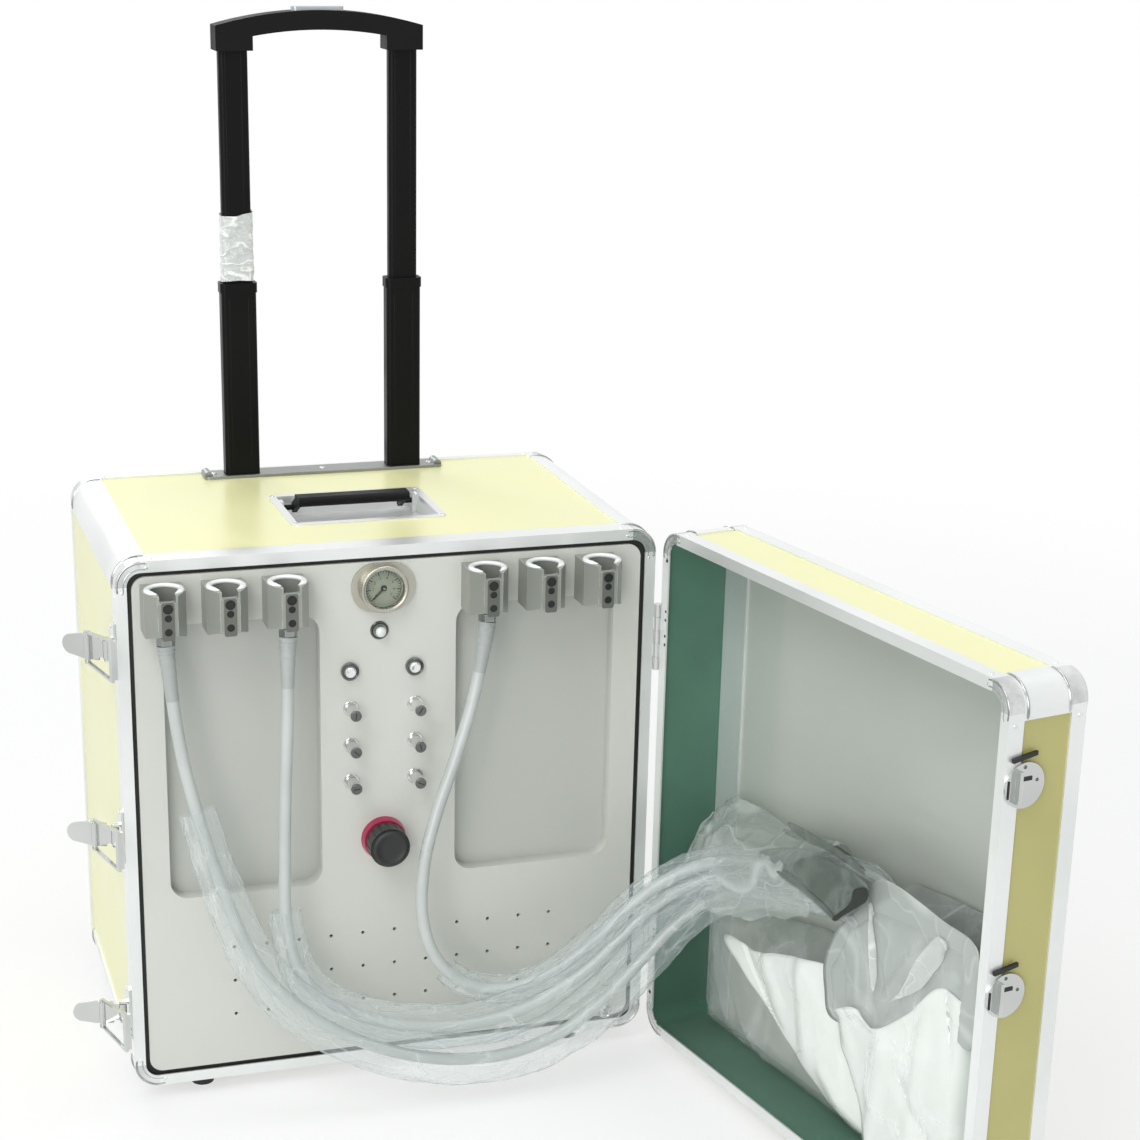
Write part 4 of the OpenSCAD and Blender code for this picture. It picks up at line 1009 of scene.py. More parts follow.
@dataclass(frozen=True)
class Hose:
    """One hose: where it runs, its film sleeve and its coupling.

    Attributes:
        side: Name of the holder side it hangs from.
        route: Points of the CAD route, in millimetres.
        film_from: Share of the hose at which the film sleeve starts.
        film_wide: Half width of the flattened sleeve where it hangs, in millimetres.
        still: Point before which the hose stays with the case, in millimetres; not used.
        turned: Point after which it moves with the door, in millimetres; not used.
    """

    side: str
    route: tuple[Point, ...]
    film_from: float
    film_wide: float
    still: Point
    turned: Point

    DIAMETER = 11.0
    SIDES = 20
    STEPS = 6
    BOOT_LEN = 34.0
    BOOT_R = 7.6
    BOOT_TAPER = 1.9
    BOOT_RINGS = 12
    # points of the centreline that the film leaves bare at the coupling's end
    FILM_STOP = 26
    # half width and half height of the film where it lies close to the hose
    FILM_SNUG = 7.4
    FILM_HIGH = 7.2

    def line(self) -> list[Vector]:
        """Gives the hose's smooth centreline."""
        return smooth_line([mm(*p) for p in self.route], self.STEPS)

    def tube(self, paint: Paint) -> bpy.types.Object:
        """Makes the hose itself."""
        radius = self.DIAMETER / 2 * MM

        def section(share: float, angle: float) -> tuple[float, float]:
            """A round section."""
            return radius * math.cos(angle), radius * math.sin(angle)

        shell = Shell()
        shell.add_rings(swept(self.line(), section, self.SIDES))
        return shell.piece(f"hose_tube_{self.side}", paint["hose_grey"])

    def boot(self, paint: Paint) -> bpy.types.Object:
        """Makes the ribbed strain relief under the fitting."""
        line = self.line()
        count = next(i for i in range(2, len(line)) if line_length(line[:i]) > self.BOOT_LEN * MM)
        fine = smooth_line(line[: count + 1], 5)

        def section(share: float, angle: float) -> tuple[float, float]:
            """A taper with rings on it."""
            rib = 0.35 * (1 if int(share * self.BOOT_RINGS) % 2 == 0 and share < 0.85 else 0)
            radius = (self.BOOT_R - self.BOOT_TAPER * share + rib) * MM
            return radius * math.cos(angle), radius * math.sin(angle)

        shell = Shell()
        shell.add_rings(swept(fine, section, 24))
        return shell.piece(f"hose_boot_{self.side}", paint["boot_grey"], 30)

    def sleeve(self, paint: Paint, seed: int) -> bpy.types.Object:
        """Makes the loose clear film round the hose, wrinkled and wider where it hangs low."""
        line = self.line()
        first = int(self.film_from * len(line))
        fine = smooth_line(line[first : -self.FILM_STOP], 3)

        def section(share: float, angle: float) -> tuple[float, float]:
            """A flattened ring with sharp folds along it."""
            slack = math.sin(math.pi * min(1.0, 0.08 + share * 1.1)) ** 0.6
            wide = self.FILM_SNUG + (self.film_wide - self.FILM_SNUG) * slack
            spot = Vector((share * 26, math.cos(angle) * 1.4 + seed * 5.7, math.sin(angle) * 1.4))
            fold = abs(noise.noise(spot)) * 2.4 + abs(noise.noise(spot * 2.7)) * 1.2
            ridge = 0.7 * abs(math.sin(angle * 3 + share * 19 + 2 * noise.noise(spot * 0.6)))
            lean = 0.5 * math.sin(share * 7 + seed)
            across = (wide * math.cos(angle) + fold * math.cos(angle) * 1.2) * MM
            over = ((self.FILM_HIGH + fold * 0.7 + ridge) * math.sin(angle) + lean * math.cos(angle)) * MM
            return over, across

        shell = Shell()
        shell.add_rings(swept(fine, section, 36), caps=False)
        return shell.piece(f"hose_film_{self.side}", paint["sleeve_film"], 180)

    def coupling(self, paint: Paint) -> bpy.types.Object:
        """Makes the turned coupling at the hose's end."""
        shell = Shell()
        outline = [
            (4.2, 0), (5.8, 0), (5.8, 7.4), (5.2, 8), (5.0, 8.4), (5.0, 12), (4.6, 12.4), (4.6, 13.4),
            (5.0, 13.8), (5.0, 17), (4.6, 17.4), (4.6, 18.4), (5.0, 18.8), (5.0, 21.6), (4.4, 22),
            (3.4, 34), (2.2, 34), (2.2, 30), (0.1, 30),
        ]
        shell.add_lathe(mm(*self.route[-1]), Axes.TOP, outline, 28)
        return shell.piece(f"hose_coupling_{self.side}", paint["nickel"], 30)


class HoseSet:
    """The three hoses, from the fittings under the holders into the open pouch."""

    HOSES = (
        Hose(
            "left",
            (
                (-202, -173.5, 422), (-201, -175, 405), (-197, -180, 357), (-190, -185, 309),
                (-179, -191, 260), (-165, -196, 209), (-151, -203, 166), (-132, -209, 127),
                (-101, -215, 91), (-58, -221, 61), (-9, -226, 40), (41, -230, 30), (91, -233, 32),
                (138, -235, 49), (177, -235, 78), (210, -234, 110), (241, -235, 142), (268, -247, 168),
                (287, -276, 185), (301, -316, 199), (311, -358, 211), (319, -400, 222), (326, -434, 219),
                (330, -448, 192), (331, -450, 140), (332, -454, 92), (335, -468, 58), (341, -495, 38),
                (348, -529, 42), (353, -555, 68), (355, -567, 100), (355, -567, 130),
            ),
            0.12,
            23.0,
            (-94.5, -149.1, 120.9),
            (349.4, -435.3, 257.8),
        ),
        Hose(
            "middle",
            (
                (-98, -173.5, 422), (-99, -175, 400), (-101, -180, 349), (-105, -185, 287),
                (-108, -191, 224), (-109, -197, 170), (-101, -203, 127), (-80, -209, 97), (-43, -216, 76),
                (5, -222, 64), (60, -227, 63), (114, -230, 78), (160, -232, 107), (199, -233, 144),
                (235, -236, 172), (266, -249, 190), (286, -277, 203), (301, -318, 215), (312, -360, 227),
                (327, -399, 236), (338, -432, 232), (342, -446, 200), (343, -447, 145), (344, -451, 95),
                (347, -465, 60), (353, -492, 40), (360, -526, 44), (365, -552, 70), (367, -564, 102),
                (367, -564, 130),
            ),
            0.17,
            20.0,
            (-0.5, -199.0, 149.1),
            (4.0, -297.0, 157.0),
        ),
        Hose(
            "right",
            (
                (78, -173.5, 422), (75, -175, 400), (64, -179, 351), (48, -183, 302), (30, -188, 255),
                (17, -194, 210), (13, -200, 165), (22, -206, 126), (47, -212, 98), (87, -218, 88),
                (131, -223, 104), (170, -228, 135), (203, -231, 166), (236, -236, 189), (265, -250, 205),
                (286, -279, 218), (302, -320, 230), (317, -361, 241), (337, -397, 250), (350, -429, 246),
                (354, -443, 215), (355, -444, 150), (356, -448, 97), (359, -462, 61), (365, -489, 40),
                (372, -523, 44), (377, -550, 70), (379, -562, 102), (379, -562, 130),
            ),
            0.27,
            14.0,
            (-0.5, -199.0, 149.1),
            (4.0, -297.0, 157.0),
        ),
    )

    def build(self, paint: Paint) -> None:
        """Makes each hose with what is on it."""
        for seed, hose in enumerate(self.HOSES):
            line = hose.line()
            tube, boot = hose.tube(paint), hose.boot(paint)
            sleeve, coupling = hose.sleeve(paint, seed), hose.coupling(paint)
            for piece in (tube, sleeve):
                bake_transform(piece)
            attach(boot, "case")
            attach(coupling, "door")
            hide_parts(f"hose_{hose.side}")
            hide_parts("hose_connectors")
            line[0]
            line_length(line)
            LOG.info("hose %s: %.3f m", hose.side, line_length(line))


# ---------- Finishes of the CAD nodes ----------


class CadFinishes:
    """Puts a finish on every CAD node that stays in view."""

    BY_NODE = {
        "case_top_board": "gold_laminate", "case_boards": "gold_laminate", "case_frames": "profile_x",
        "case_edge_rails": "profile_y", "case_corner_castings": "casting",
        "panel_mount_frame": "bracket_steel", "panel_seal": "seal_black", "front_panel": "panel_grey",
        "panel_fittings": "plate_steel", "holder_plugs": "port_black", "handpiece_holders": "holder_grey",
        "gauge_case": "gauge_metal", "gauge_dial": "dial_white", "gauge_needle": "dial_ink",
        "gauge_glass": "clear_glass", "push_button_left": "rim_white", "push_button_right": "rim_white",
        "regulator_collar": "crimson", "regulator_knob": "knob_black", "handle_sleeves": "bracket_steel",
        "handle_base_plate": "plate_steel", "handle_lower_tubes": "handle_black",
        "handle_upper_tubes": "handle_black", "handle_grip": "grip_black", "handle_button": "release_silver",
        "carry_tray": "tray_silver", "carry_bar": "grip_black", "rubber_feet": "foot_rubber",
        "wheel_brackets": "bracket_steel", "wheel_left": "tyre_rubber", "wheel_right": "tyre_rubber",
        "latch_bases": "nickel", "hinge_case_leaves": "nickel", "hinge_door_leaves": "nickel",
        "door_boards": "gold_laminate", "door_frames": "profile_x", "door_edge_rails": "profile_y",
        "door_corner_castings": "casting", "door_liner": "green_lining", "door_inner_panel": "inner_grey",
        "door_keepers": "nickel", "compressor": "pump_grey", "air_and_water_system": "tank_blue",
        "hose_left": "hose_grey", "hose_middle": "hose_grey", "hose_right": "hose_grey",
        "hose_connectors": "nickel", "door_pouches": "lining_white",
    }
    NUMBERED = {"valve_knob": (6, "knob_nickel"), "latch_lever": (3, "nickel"), "latch_hook": (3, "nickel")}

    def build(self, nodes: Mapping[str, bpy.types.Object], paint: Paint) -> None:
        """Dresses the nodes.

        Args:
            nodes: The CAD nodes by name.
            paint: The finishes.
        """
        chosen = dict(self.BY_NODE)
        for stem, (count, finish) in self.NUMBERED.items():
            chosen.update({f"{stem}_{k + 1}": finish for k in range(count)})
        for name, node in nodes.items():
            node.data.materials.clear()
            node.data.materials.append(paint[chosen[name]])
        LOG.info("finishes put on %d nodes", len(nodes))


# ---------- Fastenings placed by Geometry Nodes ----------


@dataclass(frozen=True)
class Spot:
    """Where a fastening sits: its place in metres, the way it faces and its radius in millimetres."""

    place: Vector
    out: Vector
    radius: float


class DomeTree:
    """A Geometry Nodes tree that puts a domed head on every point of a mesh."""

    def __init__(self) -> None:
        """Builds the tree once."""
        tree = bpy.data.node_groups.new("domed_heads", "GeometryNodeTree")
        face = tree.interface
        face.new_socket("Geometry", in_out="INPUT", socket_type="NodeSocketGeometry")
        self.height = face.new_socket("Height", in_out="INPUT", socket_type="NodeSocketFloat").identifier
        self.finish = face.new_socket("Finish", in_out="INPUT", socket_type="NodeSocketMaterial").identifier
        face.new_socket("Geometry", in_out="OUTPUT", socket_type="NodeSocketGeometry")
        graph = Graph(tree)
        given, result = graph.add("NodeGroupInput"), graph.add("NodeGroupOutput")
        ball = graph.add("GeometryNodeMeshUVSphere", {"Segments": 14, "Rings": 8, "Radius": 1.0})
        squash = graph.add("ShaderNodeCombineXYZ", {"X": 1.0, "Y": 1.0, "Z": given.outputs["Height"]})
        dome = graph.add("GeometryNodeTransform", {"Geometry": ball.outputs["Mesh"], "Scale": squash.outputs[0]})
        out = graph.add("GeometryNodeInputNamedAttribute", {"Name": "out"}, data_type="FLOAT_VECTOR")
        size = graph.add("GeometryNodeInputNamedAttribute", {"Name": "size"}, data_type="FLOAT")
        turn = graph.add("FunctionNodeAlignRotationToVector", {"Vector": out.outputs[0]}, axis="Z")
        heads = graph.add(
            "GeometryNodeInstanceOnPoints",
            {
                "Points": given.outputs["Geometry"], "Instance": dome.outputs[0],
                "Rotation": turn.outputs[0], "Scale": size.outputs[0],
            },
        )
        real = graph.add("GeometryNodeRealizeInstances", {"Geometry": heads.outputs[0]})
        smooth = graph.add("GeometryNodeSetShadeSmooth", {"Geometry": real.outputs[0]})
        dressed = graph.add(
            "GeometryNodeSetMaterial", {"Geometry": smooth.outputs[0], "Material": given.outputs["Finish"]}
        )
        tree.links.new(dressed.outputs[0], result.inputs["Geometry"])
        self.tree = tree


class Fastenings:
    """Rivets and screw heads, one mesh for each body and finish."""

    def __init__(self, paint: Paint) -> None:
        """Keeps the finishes and builds the tree."""
        self.paint = paint
        self.dome = DomeTree()

    def put(self, name: str, body: str, spots: Sequence[Spot], finish: str, height: float = 0.45) -> None:
        """Puts heads on spots.

        Args:
            name: The piece's name.
            body: The body that it rides on.
            spots: Where the heads sit.
            finish: The finish's name.
            height: Height of a head as a share of its radius.
        """
        mesh = bpy.data.meshes.new(name + "_points")
        mesh.from_pydata([tuple(s.place) for s in spots], [], [])
        mesh.attributes.new("out", "FLOAT_VECTOR", "POINT")
        mesh.attributes.new("size", "FLOAT", "POINT")
        # both are fetched again by name, because a new attribute can move the first one
        mesh.attributes["out"].data.foreach_set("vector", [v for s in spots for v in s.out])
        mesh.attributes["size"].data.foreach_set("value", [s.radius * MM for s in spots])
        points = bpy.data.objects.new(name + "_points", mesh)
        bpy.context.scene.collection.objects.link(points)
        layer = points.modifiers.new("heads", "NODES")
        layer.node_group = self.dome.tree
        layer[self.dome.height] = height
        layer[self.dome.finish] = self.paint[finish]
        seen = points.evaluated_get(bpy.context.evaluated_depsgraph_get())
        made = bpy.data.meshes.new_from_object(seen)
        made.name = name
        piece = bpy.data.objects.new(name, made)
        bpy.context.scene.collection.objects.link(piece)
        points.modifiers.clear()
        bpy.data.objects.remove(points)
        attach(piece, body)
        LOG.info("%s: %d heads", name, len(spots))


# ---------- Panel ----------


@dataclass(frozen=True)
class HolderDetails:
    """What is on the six handpiece holders: white rims, whose white is partly painted light on their lit tops, and
    plates with the sockets' collars.
    """

    xs: tuple[float, ...] = (-202, -150, -98, 78, 130, 182)
    rim_r: float = 14.4
    rim_wide: float = 2.7
    rim_high: float = 2.0
    gap: float = 33.0
    plug_heights: tuple[float, ...] = (459, 451, 439)
    plug_r: tuple[float, ...] = (3.4, 2.2, 2.4)
    face_y: float = -192.5
    plate_half: tuple[float, float] = (5.4, 16.5)
    plate_r: float = 2.0
    plate_z: float = 448.0

    def build(self, paint: Paint) -> None:
        """Makes the rims, the collars and the plates behind them."""
        self._rims(paint)
        self._collars(paint)

    def _rims(self, paint: Paint) -> None:
        """Makes the bright moulded rim round each cup, open at the front; its brightness is partly painted light
        falling on the top.
        """
        shell, steps = Shell(), 40
        for x in self.xs:
            rings = []
            for i in range(steps + 1):
                angle = math.radians(-90 + self.gap + (360 - 2 * self.gap) * i / steps)
                round_dir = Vector((math.cos(angle), math.sin(angle), 0))
                end = min(i, steps - i) / 3
                shrink = min(1.0, 0.35 + 0.65 * end)
                middle = mm(x, PLANES.holder_y, PLANES.holder_top + 0.2) + round_dir * self.rim_r * MM
                ring = []
                for k in range(12):
                    turn = TAU * k / 12
                    ring.append(
                        middle
                        + round_dir * self.rim_wide * shrink * math.cos(turn) * MM
                        + Vector((0, 0, 1)) * self.rim_high * shrink * math.sin(turn) * MM
                    )
                rings.append(ring)
            shell.add_rings(rings)
        rims = shell.piece("holder_rims", paint["rim_white"], 60)
        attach(rims, "case")
        LOG.info("holder rims made")

    def _collars(self, paint: Paint) -> None:
        """Makes a thin ring round each black socket, on a dark plate."""
        shell = Shell()
        for x in self.xs:
            for height, radius in zip(self.plug_heights, self.plug_r):
                outline = [
                    (radius + 0.1, -0.4), (radius + 0.9, -0.4), (radius + 0.9, 0.35),
                    (radius + 0.6, 0.6), (radius + 0.3, 0.6), (radius + 0.1, 0.4),
                ]
                shell.add_ring(mm(x, self.face_y, height), Axes.FRONT, outline, 20)
        collars = shell.piece("socket_rings", paint["port_black"], 40)
        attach(collars, "case")
        plates = Shell()
        wide, high = (half - self.plate_r for half in self.plate_half)
        for x in self.xs:
            corners = []
            for cx, cz, start in ((1, 1, 0), (-1, 1, 90), (-1, -1, 180), (1, -1, 270)):
                for step in range(5):
                    turn = math.radians(start + 22.5 * step)
                    across = x + cx * wide + self.plate_r * math.cos(turn)
                    up = self.plate_z + cz * high + self.plate_r * math.sin(turn)
                    corners.append(mm(across, self.face_y + 0.2, up))
            plates.add_slab(corners, Vector((0, -1, 0)), 0.5)
        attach(plates.piece("socket_plates", paint["socket_grey"], 30), "case")


@dataclass(frozen=True)
class GaugeFace:
    """The dial's printed scale and numbers, and the bezel's lip."""

    x: float = -10.0
    z: float = 453.0
    dial_y: float = -155.5
    lip_y: float = -161.2
    sweep: float = 270.0
    ticks: int = 28
    numbers: int = 8
    number_r: float = 9.3

    def build(self, paint: Paint) -> None:
        """Makes the scale, the numbers and the lip."""
        self._scale(paint)
        self._numbers(paint)
        shell = Shell()
        section = [
            (20.4, -0.3), (20.9, 0.3), (20.5, 0.9), (19.6, 1.1), (18.4, 0.6), (17.3, -0.3),
            (17.2, -1.0), (17.6, -1.2),
        ]
        shell.add_ring(mm(self.x, self.lip_y, self.z), Axes.FRONT, section, 64)
        lip = shell.piece("gauge_lip", paint["gauge_metal"], 50)
        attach(lip, "case")

    def _dir(self, angle: float) -> Vector:
        """Direction on the dial for an angle in degrees clockwise from the lower left end."""
        turn = math.radians(225 - angle)
        return Vector((math.cos(turn), 0, math.sin(turn)))

    def _scale(self, paint: Paint) -> None:
        """Makes the ticks and the arc."""
        shell, out = Shell(), Vector((0, -1, 0))
        centre = mm(self.x, self.dial_y, self.z)
        for i in range(self.ticks + 1):
            way = self._dir(self.sweep * i / self.ticks)
            side = way.cross(out)
            long_tick = i % 4 == 0
            inner, wide = (11.6, 0.42) if long_tick else (13.2, 0.22)
            corners = [(inner, -wide), (15.4, -wide), (15.4, wide), (inner, wide)]
            shell.add_slab([centre + way * r * MM + side * s * MM for r, s in corners], out, 0.12)
        rings, steps = [], 48
        arc = ((15.2, 0), (15.6, 0), (15.6, 0.1), (15.2, 0.1))
        for i in range(steps + 1):
            way = self._dir(self.sweep * i / steps)
            rings.append([centre + way * r * MM + out * h * MM for r, h in arc])
        shell.add_rings(rings)
        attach(shell.piece("gauge_scale", paint["dial_ink"], 30), "case")

    def _numbers(self, paint: Paint) -> None:
        """Makes the plain numbers from 0 up round the scale."""
        for i in range(self.numbers):
            curve = bpy.data.curves.new(f"number_{i}", "FONT")
            curve.body, curve.size, curve.extrude = str(i), 3.4 * MM, 0.05 * MM
            curve.align_x, curve.align_y = "CENTER", "CENTER"
            text = bpy.data.objects.new(f"number_{i}", curve)
            bpy.context.scene.collection.objects.link(text)
            seen = text.evaluated_get(bpy.context.evaluated_depsgraph_get())
            mesh = bpy.data.meshes.new_from_object(seen)
            bpy.data.objects.remove(text)
            way = self._dir(self.sweep * i / (self.numbers - 1))
            place = mm(self.x, self.dial_y - 0.1, self.z) + way * self.number_r * MM
            mesh.transform(Matrix.Translation(place) @ Matrix.Rotation(math.pi / 2, 4, "X"))
            mesh.materials.clear()
            mesh.materials.append(paint["dial_ink"])
            made = bpy.data.objects.new(f"gauge_number_{i}", mesh)
            bpy.context.scene.collection.objects.link(made)
            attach(made, "case")


@dataclass(frozen=True)
class PanelControls:
    """The turned parts on the panel: valve caps, button faces, lamp, regulator cap, fastener."""

    axis_x: float = -10.0
    knob_half: float = 29.0
    knob_heights: tuple[float, ...] = (344, 310, 276)
    knob_end_y: float = -173.0
    knob_r: float = 5.2
    button_xs: tuple[float, float] = (-40, 18)
    button_z: float = 379.0
    bezel_y: float = -155.5
    lamp: Point = (-13, PLANES.panel_y, 414)
    regulator: Point = (-10, -179.1, 219)
    fastener: Point = (205, PLANES.panel_y, 18)

    def build(self, paint: Paint) -> None:
        """Makes all of them."""
        number = 1
        for side in (-1, 1):
            for height in self.knob_heights:
                self._valve(paint, number, self.axis_x + side * self.knob_half, height)
                number += 1
        for name, x in zip(("left", "right"), self.button_xs):
            self._button(paint, name, x)
        self._lamp(paint)
        self._regulator_cap(paint)
        self._fastener(paint)

    def _valve(self, paint: Paint, number: int, x: float, height: float) -> None:
        """Makes the knurled band, the slotted end and the washer of one valve knob."""
        shell, count, out = Shell(), 30, Vector((0, -1, 0))
        centre = mm(x, self.knob_end_y, height)
        for k in range(count):
            turn = TAU * k / count
            way = Vector((math.cos(turn), 0, math.sin(turn)))
            side = way.cross(out)
            foot = centre + way * (self.knob_r - 0.15) * MM - out * 5.2 * MM
            corners = [foot - side * 0.36 * MM, foot + way * 0.5 * MM, foot + side * 0.36 * MM]
            shell.add_slab(corners, out, 4.4)
        band = shell.piece(f"valve_band_{number}", paint["knob_nickel"], 30)
        end = Shell()
        end.add_lathe(
            centre, Axes.FRONT,
            [(4.9, -0.3), (4.9, 0.15), (4.5, 0.55), (3.7, 0.6), (3.5, 0.25), (0.05, 0.2)], 28,
        )
        slot_face = end.piece(f"valve_end_{number}", paint["knob_end"], 30)
        collar = Shell()
        collar.add_lathe(
            mm(x, PLANES.panel_y, height), Axes.FRONT,
            [(7.0, 0), (7.0, 0.9), (6.6, 1.3), (4.6, 1.35), (4.2, 1.0), (4.0, 0.2)], 28,
        )
        washer = collar.piece(f"valve_washer_{number}", paint["nickel"], 30)
        slot = Shell()
        turn = math.radians(35 + 50 * number)
        way = Vector((math.cos(turn), 0, math.sin(turn)))
        side = way.cross(out)
        cut = ((-3, -0.45), (3, -0.45), (3, 0.45), (-3, 0.45))
        slot.add_slab([centre + way * a * MM + side * b * MM for a, b in cut], out, 0.42)
        line = slot.piece(f"valve_slot_{number}", paint["port_black"], 30)
        for piece in (band, slot_face, line):
            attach(piece, f"knob_{number}")
        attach(washer, "case")

    def _button(self, paint: Paint, name: str, x: float) -> None:
        """Makes a button's polished dished face and the dark ring in its bezel."""
        low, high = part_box(f"push_button_{name}")
        centre = Vector(((low.x + high.x) / 2, low.y, (low.z + high.z) / 2))
        face = Shell()
        face.add_lathe(
            centre, Axes.FRONT,
            [(4.3, -0.2), (4.3, 0.5), (3.9, 0.9), (3.2, 0.85), (2.2, 0.45), (0.05, 0.3)], 32,
        )
        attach(face.piece(f"button_face_{name}", paint["polished"], 30), f"button_{name}")
        ring = Shell()
        ring.add_ring(
            mm(x, self.bezel_y, self.button_z), Axes.FRONT,
            [(7.6, -0.4), (7.9, 0.3), (7.5, 0.9), (6.7, 1.1), (6.0, 0.7), (5.4, 0.0), (5.4, -0.4)],
        )
        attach(ring.piece(f"button_ring_{name}", paint["dark_chrome"], 40), "case")

    def _lamp(self, paint: Paint) -> None:
        """Makes the lamp's chrome ring and its lens."""
        place = mm(*self.lamp)
        ring = Shell()
        ring.add_ring(place, Axes.FRONT, [(8.2, 0.05), (8.2, 0.8), (7.6, 1.5), (6.9, 1.5), (6.2, 0.9), (6.1, 0.05)])
        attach(ring.piece("lamp_ring", paint["dark_chrome"], 30), "case")
        lens = Shell()
        lens.add_lathe(place, Axes.FRONT, [(4.6, 5.6), (4.6, 6.6), (4.2, 7.6), (3.2, 8.5), (1.8, 9.1), (0.05, 9.3)], 32)
        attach(lens.piece("lamp_lens", paint["lamp_lens"], 60), "case")

    def _regulator_cap(self, paint: Paint) -> None:
        """Makes the smooth dished cap on the regulator's knob."""
        cap = Shell()
        cap.add_lathe(
            mm(*self.regulator), Axes.FRONT,
            [
                (16.4, -0.4), (16.2, 0.5), (15.2, 1.3), (13.6, 1.6), (12.4, 1.2), (11.6, 0.6),
                (6.0, 0.35), (0.05, 0.3),
            ],
            56,
        )
        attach(cap.piece("regulator_cap", paint["knob_black"], 40), "pressure_knob")

    def _fastener(self, paint: Paint) -> None:
        """Makes the quarter-turn fastener's dished head."""
        head = Shell()
        head.add_lathe(
            mm(*self.fastener), Axes.FRONT,
            [(6.4, 0), (6.4, 1.6), (5.8, 2.6), (4.6, 2.9), (4.1, 2.3), (1.8, 2.2), (1.5, 2.6), (0.05, 2.7)], 32,
        )
        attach(head.piece("panel_fastener_head", paint["nickel"], 30), "case")


# ---------- Case and door hardware ----------


